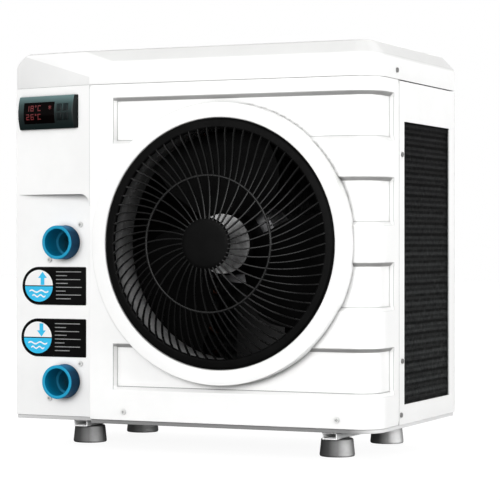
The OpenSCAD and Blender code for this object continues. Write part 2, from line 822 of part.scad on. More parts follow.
module motor_bolts() color("silver") placed() for (i = [0:3]) {
    a = 45 + i * 90;
    x = fan_x + motor_bolt_ring * cos(a) * 0.7;
    z = fan_z + motor_bolt_ring * sin(a);
    rod_y(x, z, 2.4, motor_front + motor_len - 5, bracket_y + bracket_t + 1);
    translate([x, bracket_y + bracket_t, z]) rotate([-90, 0, 0]) cylinder(r = 4.6, h = 3.5, $fn = 6);
}

// ---------- refrigerant circuit ----------

module at_comp_feet() for (i = [0:2]) translate([comp_x, comp_y, 0])
    rotate([0, 0, comp_foot_turn + i * 120])
    translate([comp_foot_ring - 6, 0, 0]) children();

module compressor_shell() translate([comp_x, comp_y, comp_foot_z + 4])
    rotate_extrude(angle = 360, $fn = 96) polygon([
        [0, 0], [30, 0], [comp_r, 14], [comp_r, comp_top - comp_foot_z - 28],
        [34, comp_top - comp_foot_z - 10], [16, comp_top - comp_foot_z - 4],
        [0, comp_top - comp_foot_z - 4]]);

module compressor() color("#2b2b2b") placed() difference() {
    union() {
        compressor_shell();
        translate([comp_x, comp_y, comp_foot_z]) cylinder(r = 36, h = 5);
        at_comp_feet() translate([-20, -7, comp_foot_z]) cube([28, 14, 4]);
    }
    at_comp_feet() translate([0, 0, comp_foot_z - 1]) cylinder(r = 4, h = 8);
}

module compressor_grommets() color("#151515") placed() at_comp_feet() {
    translate([0, 0, floor_z]) cylinder(r = 7, h = comp_foot_z - floor_z);
    translate([0, 0, comp_foot_z - 1]) cylinder(r = 3.7, h = 7);
}

module accumulator() color("#2b2b2b") placed() {
    translate([acc_x, acc_y, 84]) rotate_extrude(angle = 360, $fn = 64) polygon([
        [0, 0], [8, 0], [acc_r, 10], [acc_r, 122], [8, 134], [0, 134]]);
    difference() {
        pipe([[acc_x, acc_y, 90], [acc_x, acc_y, 70], [comp_x + 33, comp_y - 29, 70]], pipe_r);
        compressor_shell();
    }
}

module reversing_valve() color("goldenrod") placed() {
    translate([comp_x - 20, comp_y, valve_z]) rotate([0, 90, 0]) cylinder(r = valve_r, h = valve_l);
    for (x = valve_ports) translate([x, comp_y, valve_z - valve_r - 5]) cylinder(r = pipe_r + 1, h = 8);
    translate([valve_ports[1], comp_y, valve_z + valve_r - 3]) cylinder(r = pipe_r + 1, h = 8);
}

module refrigerant_pipes() color("chocolate") placed() {
    difference() {
        pipe([[comp_x - 28, comp_y, comp_top - 8], [comp_x - 28, comp_y, port_high + elbow_r],
            [valve_ports[1], comp_y, port_high + elbow_r], [valve_ports[1], comp_y, port_high]], pipe_r);
        compressor_shell();
    }
    pipe([[valve_ports[0], comp_y, port_low], [valve_ports[0], comp_y, 258], [valve_ports[0], 152, 258],
        [valve_ports[0], 152, riser_top + elbow_r], [ex_x - titan_r, ex_y, riser_top + elbow_r],
        [ex_x - titan_r, ex_y, riser_top]], pipe_r);
    pipe([[valve_ports[1], comp_y, port_low], [valve_ports[1], comp_y, 247], [acc_x, acc_y, 247],
        [acc_x, acc_y, 218]], pipe_r);
    pipe([[valve_ports[2], comp_y, port_low], [valve_ports[2], comp_y, gas_hole_z],
        [valve_ports[2], pipe_hole_y, gas_hole_z], [coil_left_x - 19, pipe_hole_y, gas_hole_z],
        [coil_left_x - 19, pipe_hole_y, row_z(tube_rows - 1)],
        [coil_left_x - 19, coil_y, row_z(tube_rows - 1)],
        [coil_left_x - 8.2, coil_y, row_z(tube_rows - 1)]], pipe_r);
    pipe([[ex_x, ex_y, riser_top], [ex_x, ex_y, riser_top + elbow_r], [cap_x, 150, riser_top + elbow_r],
        [cap_x, pipe_hole_y, riser_top + elbow_r], [cap_x, pipe_hole_y, cap_high]], pipe_r);
    pipe([[cap_x, pipe_hole_y, cap_low], [cap_x, pipe_hole_y, liquid_hole_z],
        [coil_left_x - 19, pipe_hole_y, liquid_hole_z], [coil_left_x - 19, coil_y, row_z(0)],
        [coil_left_x - 8.2, coil_y, row_z(0)]], pipe_r);
}

module capillary_coil() color("peru") placed() {
    for (i = [0:7]) translate([cap_x, pipe_hole_y, cap_low + 14 + i * 4]) rotate_extrude()
        translate([cap_coil_r, 0]) circle(1.6, $fn = 16);
    translate([cap_x, pipe_hole_y, cap_low]) cylinder(r = 2.5, h = cap_high - cap_low);
    translate([cap_x, pipe_hole_y - 1.5, cap_low + 12]) cube([cap_coil_r, 3, 32]);
}

// ---------- water circuit ----------

module exchanger_shell() color("lightsteelblue") placed() difference() {
    union() {
        translate([ex_x, ex_y, ex_low]) cylinder(r = ex_r, h = ex_high - ex_low, $fn = 96);
        for (z = [inlet_z, outlet_z]) rod_y(ex_x, z, port_r, bay_in + flange_t + gasket_t, ex_y - 20);
        translate([ex_x, ex_y, floor_z]) cylinder(r = 31, h = ex_low - floor_z);
    }
    translate([ex_x, ex_y, ex_low + ex_wall])
        cylinder(r = ex_r - ex_wall, h = ex_high - ex_low - 2 * ex_wall, $fn = 96);
    for (z = [inlet_z, outlet_z]) rod_y(ex_x, z, tail_r + 0.1, bay_in, ex_y - 10);
    for (x = [ex_x, ex_x - titan_r]) translate([x, ex_y, ex_high - 10])
        cylinder(r = titan_tube_r + 0.1, h = 20);
    translate([ex_x + 20, ex_y, inlet_z]) rotate([0, 90, 0]) cylinder(r = switch_r + 0.1, h = 40);
}

// The coil's turns, as rings joined by a riser up the middle and a short link at the back
module titanium_coil() color("silver") placed() translate([ex_x, ex_y, titan_low]) {
    for (i = [0:titan_turns]) translate([0, 0, i * titan_pitch]) rotate_extrude()
        translate([titan_r, 0]) circle(titan_tube_r, $fn = 24);
    translate([-titan_r, 0, 0]) cylinder(r = titan_tube_r - 1, h = titan_turns * titan_pitch, $fn = 24);
    translate([-titan_r, 0, titan_turns * titan_pitch])
        cylinder(r = titan_tube_r - 0.4, h = riser_top - titan_low - titan_turns * titan_pitch, $fn = 24);
    cylinder(r = titan_tube_r - 0.4, h = riser_top - titan_low, $fn = 24);
    translate([-titan_r, 0, 0]) rotate([0, 90, 0]) cylinder(r = titan_tube_r - 1, h = titan_r, $fn = 24);
}

module socket(z) color("#1f93c6") placed() difference() {
    union() {
        rod_y(ex_x, z, socket_r, bay_depth - socket_out, bay_in + 1);
        block([ex_x - flange_w / 2, bay_in + 0.1, z - flange_w / 2],
            [ex_x + flange_w / 2, bay_in + flange_t, z + flange_w / 2]);
        rod_y(ex_x, z, tail_r, bay_in + 1, bay_in + flange_t + tail_len);
    }
    rod_y(ex_x, z, socket_bore_r, bay_depth - socket_out - 1, bay_in + flange_t);
    rod_y(ex_x, z, stop_r, bay_depth, bay_in + flange_t + tail_len + 1);
    for (s = [-1, 1]) facing_front(ex_x + s * flange_screw, bay_depth, z + s * flange_screw) screw_hole(12);
}

module outlet_socket() socket(outlet_z);
module inlet_socket() socket(inlet_z);

module socket_gaskets() color("#151515") placed() for (z = [inlet_z, outlet_z])
    tube_y(ex_x, z, port_r, tail_r + 0.1, bay_in + flange_t, bay_in + flange_t + gasket_t);

module socket_screws() color("silver") placed() for (z = [inlet_z, outlet_z]) for (s = [-1, 1])
    facing_front(ex_x + s * flange_screw, bay_depth, z + s * flange_screw) screw(8);

module flow_switch() color("#e8e4d8") placed() {
    translate([ex_x + ex_r - 3, ex_y, inlet_z]) rotate([0, 90, 0]) cylinder(r = switch_r, h = 10);
    translate([ex_x + ex_r + 1, ex_y - 11, inlet_z - 14]) cube([15, 22, 28]);
    translate([pivot_x + 6, ex_y, inlet_z]) rotate([0, 90, 0]) cylinder(r = 5, h = ex_r - 14);
    translate([pivot_x + 5, ex_y - 3, inlet_z - ear_z - 2]) cube([4, 6, 2 * ear_z + 4]);
    for (s = [-1, 1]) translate([pivot_x - 3, ex_y - 3, inlet_z + s * (ear_z + 1) - 1]) cube([10, 6, 2]);
    translate([pivot_x, ex_y, inlet_z - ear_z - 1]) cylinder(r = pivot_r, h = 2 * ear_z + 2);
}

module flow_paddle() color("white") placed() translate([pivot_x, ex_y, inlet_z]) difference() {
    union() {
        translate([0, 0, -paddle_h / 2]) cylinder(r = 3.2, h = paddle_h);
        translate([-paddle_l, -0.8, -paddle_h / 2]) cube([paddle_l, 1.6, paddle_h]);
    }
    translate([0, 0, -paddle_h]) cylinder(r = pivot_r + run_gap, h = 2 * paddle_h);
}

// ---------- electrics ----------

module electrical_box() color("#d8d8d0") placed() difference() {
    block([box_x[0], box_y[0], box_low_z], [box_x[1], box_y[1], box_high_z]);
    block([box_x[0] + box_t, box_y[0] + box_t, box_low_z + box_t],
        [box_x[1] - box_t, box_y[1] - box_t, box_high_z + 1]);
    rod_y(gland_x, cable_z, cable_r + 0.3, box_y[1] - 5, box_y[1] + 5);
}

module electrical_box_lid() color("#d8d8d0") placed()
    block([box_x[0] - 1, box_y[0] - 1, box_high_z], [box_x[1] + 1, box_y[1] + 1, box_high_z + box_t]);

module control_board() color("darkgreen") placed() {
    block([box_x[0] + 8, box_y[0] + 10, box_low_z + 10], [box_x[1] - 8, box_y[1] - 40, box_low_z + 11.6]);
    for (x = [box_x[0] + 12, box_x[1] - 12]) for (y = [box_y[0] + 14, box_y[1] - 44])
        translate([x, y, box_low_z + box_t]) cylinder(r = 2.5, h = 9);
    for (i = [0:2]) block([box_x[0] + 20, box_y[0] + 20 + i * 26, box_low_z + 11],
        [box_x[0] + 40, box_y[0] + 36 + i * 26, box_low_z + 27]);
    block([box_x[1] - 46, box_y[0] + 22, box_low_z + 11], [box_x[1] - 18, box_y[0] + 54, box_low_z + 37]);
}

module fan_capacitor() color("white") placed()
    block([box_x[0] + 24, box_y[1] - 34, box_low_z + box_t], [box_x[1] - 40, box_y[1] - 10, box_low_z + 42]);

module cable_gland() color("#303030") placed() difference() {
    union() {
        rod_y(gland_x, gland_z, gland_r, case_d - sheet - 3, case_d + gland_out - 4);
        translate([gland_x, case_d, gland_z]) rotate([-90, 0, 0]) cylinder(r = 13, h = 6, $fn = 6);
        translate([gland_x, case_d - sheet - 3, gland_z]) rotate([-90, 0, 0])
            cylinder(r = 11.5, h = 3, $fn = 6);
    }
    rod_y(gland_x, gland_z, cable_r + 0.1, case_d - 10, case_d + 20);
}

module power_cable() color("black") placed() {
    rod_y(gland_x, gland_z, cable_r, cable_y, case_d + gland_out);
    pipe([[gland_x, cable_y + 1, gland_z], [gland_x, cable_y, gland_z], [gland_x, cable_y, cable_z],
        [gland_x, box_y[1] - 6, cable_z]], cable_r);
}

// ---------- controller and labels ----------

module controller_bezel() color("#23363a") placed() on_face() difference() {
    block([ctl_right - ctl_w, -ctl_out, ctl_low_z], [ctl_right, 0, ctl_low_z + ctl_h]);
    block([ctl_right - ctl_w + ctl_wall, -ctl_front, ctl_low_z + ctl_wall],
        [ctl_right - ctl_wall, 1, ctl_low_z + ctl_h - ctl_wall]);
    block([win_x[0], -ctl_out - 1, win_z[0]], [win_x[1], -ctl_front + 1, win_z[1]]);
    for (x = btn_x) for (z = btn_z) block(
        [x - btn_w / 2 - btn_gap, -ctl_out - 1, z - btn_h / 2 - btn_gap],
        [x + btn_w / 2 + btn_gap, -ctl_front + 1, z + btn_h / 2 + btn_gap]);
}

module display_window() color("#120406") placed() on_face()
    block([win_x[0] + 0.05, -ctl_out + 0.4, win_z[0] + 0.05],
        [win_x[1] - 0.05, -ctl_front, win_z[1] - 0.05]);

module display_board() color("darkgreen") placed() on_face() {
    block([ctl_right - ctl_w + 3, -board_top, ctl_low_z + 3],
        [ctl_right - 3, -board_top + board_t, ctl_low_z + ctl_h - 3]);
    block([win_x[0] + 2, -ctl_front + 0.1, win_z[0] + 2], [win_x[1] - 2, -board_top + 0.5, win_z[1] - 2]);
}

// A button with a collar behind the bezel that keeps it in its hole
module push_button(x, z) color("#1b282b") placed() on_face() translate([x, 0, z]) {
    block([-btn_w / 2, -ctl_out - btn_proud, -btn_h / 2], [btn_w / 2, -ctl_front + 0.3, btn_h / 2]);
    block([-btn_w / 2 - 0.6, -ctl_front + 0.02, -btn_h / 2 - 0.6],
        [btn_w / 2 + 0.6, -ctl_front + 0.8, btn_h / 2 + 0.6]);
}

module button_power() push_button(btn_x[0], btn_z[1]);
module button_mode() push_button(btn_x[1], btn_z[1]);
module button_up() push_button(btn_x[0], btn_z[0]);
module button_down() push_button(btn_x[1], btn_z[0]);

// A sticker of length l with a round left end
module sticker(l, z) color("black") placed()
    translate([label_right_x - l, bay_depth - label_t, z]) rotate([-90, 0, 0]) linear_extrude(label_t) {
        translate([label_h / 2, 0]) circle(label_h / 2);
        translate([label_h / 2, -label_h / 2]) square([l - label_h / 2, label_h]);
    }

module outlet_label() sticker(label_l[0], outlet_label_z);
module inlet_label() sticker(label_l[1], inlet_label_z);

base_tray();
rail_left();
rail_right();
rubber_feet();
foot_bolts();
foot_nuts();
drain_nozzle();
front_panel();
front_panel_screws();
fan_grille();
left_panel();
right_panel();
right_panel_screws();
rear_panel();
rear_panel_screws();
lid();
lid_screws();
partition_plate();
evaporator_fins();
evaporator_tubes();
coil_end_plates();
axial_fan();
fan_shaft();
fan_nut();
motor_rotor();
motor_housing();
motor_end_cap();
motor_stator();
motor_bearings();
motor_bracket();
motor_bolts();
compressor();
compressor_grommets();
accumulator();
reversing_valve();
refrigerant_pipes();
capillary_coil();
exchanger_shell();
titanium_coil();
outlet_socket();
inlet_socket();
socket_gaskets();
socket_screws();
flow_switch();
flow_paddle();
electrical_box();
electrical_box_lid();
control_board();
fan_capacitor();
controller_bezel();
display_window();
display_board();
button_power();
button_mode();
button_up();
button_down();
outlet_label();
inlet_label();
cable_gland();
power_cable();
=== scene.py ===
import json
import math

import bmesh
import bpy
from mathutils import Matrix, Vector


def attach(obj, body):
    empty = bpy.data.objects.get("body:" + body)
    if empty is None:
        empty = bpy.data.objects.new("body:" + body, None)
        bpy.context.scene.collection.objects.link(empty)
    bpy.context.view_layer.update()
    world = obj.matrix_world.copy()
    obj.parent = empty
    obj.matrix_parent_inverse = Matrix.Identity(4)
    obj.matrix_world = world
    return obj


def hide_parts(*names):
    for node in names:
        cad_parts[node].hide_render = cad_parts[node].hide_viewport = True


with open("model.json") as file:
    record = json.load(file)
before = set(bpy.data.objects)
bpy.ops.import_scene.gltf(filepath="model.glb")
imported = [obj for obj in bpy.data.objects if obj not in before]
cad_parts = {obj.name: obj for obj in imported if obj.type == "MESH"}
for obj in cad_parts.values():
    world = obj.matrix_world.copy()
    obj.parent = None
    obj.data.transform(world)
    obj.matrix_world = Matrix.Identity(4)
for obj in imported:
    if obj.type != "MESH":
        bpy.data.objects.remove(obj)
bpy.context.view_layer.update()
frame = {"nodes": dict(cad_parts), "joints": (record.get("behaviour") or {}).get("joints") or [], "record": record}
nodes = frame["nodes"]
scene = bpy.context.scene

# Sizes are in millimetres, with y measured back from the front panel's face.
MM = 0.001


def box(name):
    """The low and high corners of a CAD node, in millimetres and rounded to a micrometre."""
    corners = [nodes[name].matrix_world @ Vector(corner) for corner in nodes[name].bound_box]
    return [[round(pick(c[i] for c in corners) / MM, 3) for i in range(3)] for pick in (min, max)]


def named_place(group, name):
    """Where the record or the joint list puts a named thing, in millimetres."""
    found = next(entry for entry in group if entry["name"] == name)
    return [round(value / MM, 3) for value in found["pos_m"]]


(LEFT, FRONT_Y, SEAM_Z), (RIGHT, BACK_Y, TOP_Z) = box("lid")
DEPTH = BACK_Y - FRONT_Y
PANEL_LOW = box("front_panel")[0][2]
FAN_X, _, FAN_Z = named_place(frame["joints"], "fan_spin")
OUTLET = named_place(frame["record"]["mounts"], "water_outlet")
INLET = named_place(frame["record"]["mounts"], "water_inlet")
SOCKET_X, SOCKET_Z = OUTLET[0], (OUTLET[2], INLET[2])
CTL_Z = [corner[2] for corner in box("controller_bezel")]

EDGE = -121.75              # x of the upright edge between the angled face and the front
CORNER_R = 30.0             # the front right corner
ANGLED_W, ANGLED_DROP = EDGE - LEFT, 28.0
BAY_Y, BAY_TOP, BAY_CORNER_R = 27.0, 297.0, 14.0
PANEL_HIGH = 424.7
WALL = 2.4                  # the moulded panels' thickness


def place(p):
    """A point in millimetres as a place in the frame, in metres."""
    return Vector((p[0], p[1] + FRONT_Y, p[2])) * MM


def angled_y(x):
    """How far back the angled face is at x."""
    return (EDGE - x) * ANGLED_DROP / ANGLED_W


def on_face(u, out, z):
    """A point on the angled face: u along it from the upright edge, out of it, and height."""
    turn = -math.atan2(ANGLED_DROP, ANGLED_W)
    c, s = math.cos(turn), math.sin(turn)
    return (EDGE + u * c + out * s, u * s - out * c, z)


# Cosines and sines round a quarter turn
QUARTER = [(math.cos(math.pi / 2 * k / 12), math.sin(math.pi / 2 * k / 12)) for k in range(13)]


# ---------- how a finish is made ----------

FINISHES = {}


def grey(tone, warmth=0.0):
    return (tone, tone, tone - warmth)


def warm(tone):
    return grey(tone, 0.005)


def connect(tree, node, inputs):
    """Sets each input of a node to a value, or links it to another node's output."""
    for name, value in inputs.items():
        if isinstance(value, bpy.types.NodeSocket):
            tree.links.new(value, node.inputs[name])
        else:
            node.inputs[name].default_value = value


def add_node(tree, kind, inputs={}, **settings):
    """Adds a shader node, and returns its outputs."""
    node = tree.nodes.new("ShaderNode" + kind)
    for name, value in settings.items():
        setattr(node, name, value)
    connect(tree, node, inputs)
    return node.outputs


def ramp(tree, value, stops):
    """A color that runs through the stops, as value goes from 0 to 1."""
    node = tree.nodes.new("ShaderNodeValToRGB")
    while len(node.color_ramp.elements) < len(stops):
        node.color_ramp.elements.new(0.5)
    for element, (position, color) in zip(node.color_ramp.elements, stops):
        element.position = position
        element.color = (*color, 1)
    connect(tree, node, {"Fac": value})
    return node.outputs["Color"]


def noise(tree, vector, scale, detail, rough=0.5):
    inputs = {"Scale": scale, "Detail": detail, "Roughness": rough, "Vector": vector}
    return add_node(tree, "TexNoise", inputs)["Fac"]


def tint_by(tree, color, value, low, high, stops):
    """Multiplies a color by a ramp over a value that runs from low to high."""
    scaled = add_node(tree, "MapRange", {"From Min": low, "From Max": high, "Value": value})["Result"]
    inputs = {"Factor": 1.0, "A": color, "B": ramp(tree, scaled, stops)}
    return add_node(tree, "Mix", inputs, data_type="RGBA", blend_type="MULTIPLY")["Result"]


def along(axis, low, high, stops):
    """A tint along an axis, between two places. Each finish here paints light and shade with it."""
    shift = FRONT_Y if axis == "Y" else 0.0

    def tint(tree, plain, stretched, color):
        split = add_node(tree, "SeparateXYZ", {"Vector": plain})
        return tint_by(tree, color, split[axis], (low + shift) * MM, (high + shift) * MM, stops)
    return tint


def light_by_facing(direction, stops):
    """Painted light and shade: a tint by how a face turns, from away from the direction to towards it."""
    def tint(tree, plain, stretched, color):
        normal = add_node(tree, "NewGeometry")["Normal"]
        turn = add_node(tree, "VectorMath", {0: normal, 1: direction}, operation="DOT_PRODUCT")
        return tint_by(tree, color, turn["Value"], -1.0, 1.0, stops)
    return tint


def rows(period, low):
    """A tint in level, slightly uneven rows, with the tone low in their troughs."""
    scale = math.pi / 10 / (period * MM)

    def tint(tree, plain, stretched, color):
        inputs = {"Scale": scale, "Distortion": 3.0, "Detail": 3.0, "Detail Scale": 2.5, "Vector": stretched}
        wave = add_node(tree, "TexWave", inputs, bands_direction="Z")
        return tint_by(tree, color, wave["Fac"], 0.15, 0.85, [(0.0, grey(low)), (1.0, grey(1))])
    return tint


def crease_shade(reach, low):
    """Painted shade: a tint that falls to the tone low where other faces are within reach, as in corners and
    recesses.
    """
    def tint(tree, plain, stretched, color):
        shade = add_node(tree, "AmbientOcclusion", {"Distance": reach * MM}, samples=8)
        return tint_by(tree, color, shade["AO"], 0.35, 0.95, [(0.0, grey(low)), (1.0, grey(1))])
    return tint


def surface(name, dark, light, rough, *tints, metallic=0.0, mottle=18, grain=900, bump=0.15,
            stretch=(1, 1, 1), specular=0.5, glow=(grey(1), 0.0)):
    """A finish with two close tones in soft patches, its tints, fine grain relief and uneven gloss.
    mottle and grain are the scales of the patches and the grain, and glow is a color and a strength."""
    mat = bpy.data.materials.new(name)
    mat.use_nodes = True
    tree = mat.node_tree
    plain = add_node(tree, "TexCoord")["Object"]
    stretched = add_node(tree, "Mapping", {"Scale": stretch, "Vector": plain})["Vector"]
    color = ramp(tree, noise(tree, stretched, mottle, 4.0, 0.6), [(0.35, dark), (0.65, light)])
    for tint in tints:
        color = tint(tree, plain, stretched, color)
    spread = 0.08
    gloss = {"To Min": max(rough - spread, 0.02), "To Max": min(rough + spread, 1.0),
             "Value": noise(tree, stretched, mottle * 5, 3.0)}
    relief = {"Strength": bump, "Distance": 0.1 * MM, "Height": noise(tree, stretched, grain, 3.0)}
    connect(tree, tree.nodes["Principled BSDF"], {
        "Base Color": color,
        "Roughness": add_node(tree, "MapRange", gloss)["Result"],
        "Normal": add_node(tree, "Bump", relief)["Normal"],
        "Metallic": metallic,
        "Specular IOR Level": specular,
        "Emission Color": (*glow[0], 1),
        "Emission Strength": glow[1]})
    FINISHES[name] = mat
    return mat


# ---------- the finishes: white plastic and painted steel ----------

# Painted shade in the corners and recesses of the white plastic and steel.
CREASE_SHADE = crease_shade(7, 0.45)
# Painted shade on the white plastic: faces that turn down are darker, and so are the lid's bevels and top.
TILT_SHADE = light_by_facing((0.35, 0.0, 0.94), [(0.0, grey(0.5)), (0.3, grey(1)), (0.68, grey(1)), (0.71, warm(0.93)),
                                  (0.87, warm(0.74)), (1.0, grey(0.97))])
surface("white_plastic", warm(0.87), warm(0.90), 0.38, TILT_SHADE, CREASE_SHADE, grain=700, bump=0.12)
# Painted shade: a darker copy of the white plastic for the lid's faces that turn to the left front.
surface("white_lid_side_shade", warm(0.76), warm(0.79), 0.38, CREASE_SHADE, grain=700, bump=0.12)
# Painted shade: darker copies of the white plastic for the bands' slopes.
for part, dark, light in (("top", 0.32, 0.35), ("low", 0.78, 0.82), ("end", 0.46, 0.50)):
    surface("white_slope_shade_" + part, warm(dark), warm(light), 0.45, CREASE_SHADE, grain=700, specular=0.2)
surface("white_steel", warm(0.86), warm(0.89), 0.42, CREASE_SHADE, grain=420, bump=0.25)
# Painted shade: the rear panel's inner faces, turned away from the back, are near black.
surface("rear_steel_inner_shade", warm(0.86), warm(0.89), 0.42,
        light_by_facing((0.0, 1.0, 0.0), [(0.0, grey(0.02)), (0.3, grey(0.02)), (0.45, grey(1)), (1.0, grey(1))]),
        CREASE_SHADE, grain=420, bump=0.25)
# Painted shade: the tray's lip is darkest under the front panel, lighter under the bay and lightest on the right
# side.
surface("tray_steel", grey(0.94), grey(1), 0.5,
        along("X", -237, 237, [(0.0, grey(0.62)), (0.235, grey(0.5)), (0.25, grey(0.22)), (0.93, grey(0.22)),
                               (1.0, grey(0.75))]),
        grain=420, bump=0.25, specular=0.2)
# Painted shade inside the rails' channels.
surface("rail_steel", grey(0.93), grey(0.97), 0.45, crease_shade(3, 0.12), grain=420, bump=0.25)

# ---------- bare metal ----------

surface("galvanised", (0.48, 0.49, 0.50), (0.60, 0.61, 0.62), 0.35, metallic=0.9, mottle=60, grain=300)
# Near black steel; the plates inside the cabinet take it, partly as painted shade for the dark inside.
surface("dark_steel", grey(0.004), grey(0.008), 0.45, specular=0.2)
surface("zinc", warm(0.20), warm(0.28), 0.4, metallic=0.4, mottle=150)
# Painted shade in the screws' recesses.
surface("bright_zinc", (0.62, 0.62, 0.61), (0.78, 0.78, 0.77), 0.35, crease_shade(1.5, 0.05), mottle=150)
surface("copper", (0.05, 0.018, 0.011), (0.10, 0.038, 0.022), 0.4, metallic=0.95, mottle=70)
surface("brass", (0.55, 0.40, 0.18), (0.70, 0.52, 0.26), 0.3, metallic=0.95, mottle=70)
surface("motor_alloy", (0.14, 0.14, 0.145), (0.22, 0.22, 0.225), 0.5, metallic=0.6, mottle=120,
        grain=1200, bump=0.35)
surface("clamp_steel", grey(0.14), grey(0.40), 0.35, metallic=0.3, mottle=70, grain=1200, bump=0.35)
surface("winding", (0.20, 0.08, 0.04), (0.42, 0.18, 0.09), 0.45, mottle=300, stretch=(1, 6, 1))
surface("compressor_black", (0.015, 0.015, 0.016), (0.03, 0.03, 0.032), 0.3)
surface("titanium", (0.36, 0.35, 0.33), (0.48, 0.47, 0.45), 0.35, metallic=0.95)

# ---------- black and grey plastic, rubber and the coil ----------

# Painted light: the rear feet are lighter than the front ones, and a painted highlight runs down the side that
# faces the front right.
surface("foot_rubber", grey(0.85), grey(1), 0.55,
        along("Y", 63, 183, [(0.0, grey(0.5)), (1.0, grey(1.1))]),
        light_by_facing((0.81, -0.588, 0.0), [(0.25, grey(0.04)), (0.72, grey(0.11)), (0.93, grey(0.36)),
                                     (1.0, grey(0.9))]),
        mottle=90, grain=1400, bump=0.4, specular=0.2)
surface("black_plastic", grey(0.008), grey(0.014), 0.5, specular=0.3)
surface("grille_black", grey(0.0015), grey(0.003), 0.45, mottle=40, grain=1500, bump=0.2, specular=0.04)
surface("grille_rib", grey(0.003), grey(0.006), 0.28, mottle=40, grain=1500, bump=0.2, specular=0.17)
# Painted reflection: the duct's inside is lighter where it faces up and to the right.
surface("grille_duct", grey(0.85), grey(1), 0.25,
        light_by_facing((0.6, 0.0, 0.8), [(0.0, grey(0.15)), (0.8, grey(0.15)), (0.93, grey(0.34)), (1.0, grey(0.4))]),
        mottle=25, grain=1500, bump=0.1, specular=0.9)
surface("fan_grey", grey(0.0012), grey(0.0024), 0.5, mottle=30, specular=0.02)
# Painted light: the fins are lighter towards the bottom, with rows of painted highlights along their waves.
surface("fin_black", (0.35, 0.37, 0.37), grey(1), 0.5,
        along("Z", 100, 360, [(0.0, (0.045, 0.047, 0.047)), (1.0, (0.014, 0.014, 0.015))]),
        rows(8.8, 0.35), mottle=260, grain=600, stretch=(1, 1, 0.6), specular=0.12)
surface("cable_black", grey(0.012), grey(0.022), 0.6)
surface("cream_plastic", (0.70, 0.68, 0.61), (0.76, 0.74, 0.68), 0.5)
surface("board_green", (0.01, 0.10, 0.04), (0.03, 0.18, 0.08), 0.35, mottle=500)

# ---------- the exchanger and the water sockets ----------

# Painted light: a faint blue glow, though the shell is no lamp, so that its ports show in the dark.
surface("shell_plastic", (0.008, 0.035, 0.055), (0.012, 0.05, 0.075), 0.4, glow=((0.05, 0.5, 0.8), 0.035))
surface("socket_blue", (0.008, 0.27, 0.46), (0.014, 0.31, 0.52), 0.4, specular=0.15)
# Painted light and shade on the socket's outside: lighter towards the front, a painted highlight on top and darker
# sides.
surface("socket_side", grey(0.9), grey(1), 0.4,
        along("Y", 5, 34, [(0.0, (0.015, 0.26, 0.62)), (1.0, (0.004, 0.08, 0.18))]),
        light_by_facing((0.0, 0.0, 1.0), [(0.0, (0.5, 0.7, 0.8)), (0.12, (0.3, 0.4, 0.4)), (0.4, (0.1, 0.2, 0.2)),
                                 (0.8, (0.1, 0.25, 0.25)), (0.93, (0.5, 0.8, 0.7)), (1.0, grey(1))]),
        specular=0.06)
# Painted light in the bore: lightest at its mouth and darker further in, with a faint painted glow.
surface("socket_bore", grey(0.9), grey(1), 0.5,
        along("Y", 6, 48, [(0.0, (0.0, 0.19, 0.36)), (0.35, (0.002, 0.15, 0.27)), (1.0, (0.008, 0.12, 0.2))]),
        specular=0.1, glow=((0.0, 0.5, 0.8), 0.015))

# ---------- the controller and the stickers ----------

# Painted highlight: the bezel runs from near black at its foot to light teal at its top.
surface("bezel_teal", grey(0.9), grey(1), 0.35,
        along("Z", *CTL_Z, [(0.0, (0.004, 0.010, 0.010)), (0.45, (0.013, 0.020, 0.020)),
                            (0.75, (0.04, 0.07, 0.07)), (0.97, (0.12, 0.20, 0.20)),
                            (1.0, (0.15, 0.23, 0.23))]),
        specular=0.15)
# Painted shade: the near black finish for the bezel's right end.
surface("bezel_end_shade", (0.002, 0.003, 0.003), (0.004, 0.006, 0.006), 0.4, specular=0.1)
surface("window_dark", (0.0012, 0.0008, 0.0008), (0.0022, 0.001, 0.001), 0.15, specular=0.03)
# Painted highlight: each row of keys is lighter towards its top, the upper row most, with painted shade in the
# keys' corners.
surface("button_dark", grey(0.9), grey(1), 0.35,
        along("Z", 385, 404.5, [(0.0, (0.002, 0.004, 0.004)), (0.5, (0.006, 0.011, 0.012)),
                                (0.55, (0.003, 0.006, 0.006)), (1.0, (0.008, 0.018, 0.020))]),
        crease_shade(2, 0.02), specular=0.15)
surface("digit_red", (0.07, 0.006, 0.008), (0.13, 0.010, 0.012), 0.4, mottle=500,
        glow=((1.0, 0.08, 0.08), 0.035))
surface("label_black", grey(0.0015), grey(0.003), 0.4, grain=300, specular=0.04)
surface("print_white", grey(0.80), grey(0.86), 0.35)
surface("print_cyan", (0.01, 0.45, 0.75), (0.02, 0.50, 0.82), 0.35)
surface("print_grey", grey(0.22), grey(0.34), 0.4, mottle=600)


# ---------- how a piece is made ----------

def in_scene(name, data):
    """A new object with this data."""
    obj = bpy.data.objects.new(name, data)
    scene.collection.objects.link(obj)
    return obj


def mesh_object(name, verts, faces):
    mesh = bpy.data.meshes.new(name)
    mesh.from_pydata(verts, [], faces)
    return in_scene(name, mesh)


def piece(name, verts, faces, slot, replaced=None, body="cabinet", closed=True, sharp=35,
          finishes=None, face_mats=()):
    """A mesh piece on a body, in place of a CAD node where one is named. A closed piece gets its
    normals turned outwards, and face_mats has each face's place in finishes."""
    obj = mesh_object(name, [place(v) for v in verts], faces)
    for finish in finishes or [slot]:
        obj.data.materials.append(FINISHES[finish])
    for poly, index in zip(obj.data.polygons, face_mats):
        poly.material_index = index

    def clean(bm):
        if closed:
            bmesh.ops.remove_doubles(bm, verts=bm.verts, dist=2e-7)
            bmesh.ops.recalc_face_normals(bm, faces=bm.faces)

    edit(obj, clean)
    if sharp:
        obj.data.set_sharp_from_angle(angle=math.radians(sharp))
    if replaced:
        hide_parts(replaced)
    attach(obj, body)
    return obj


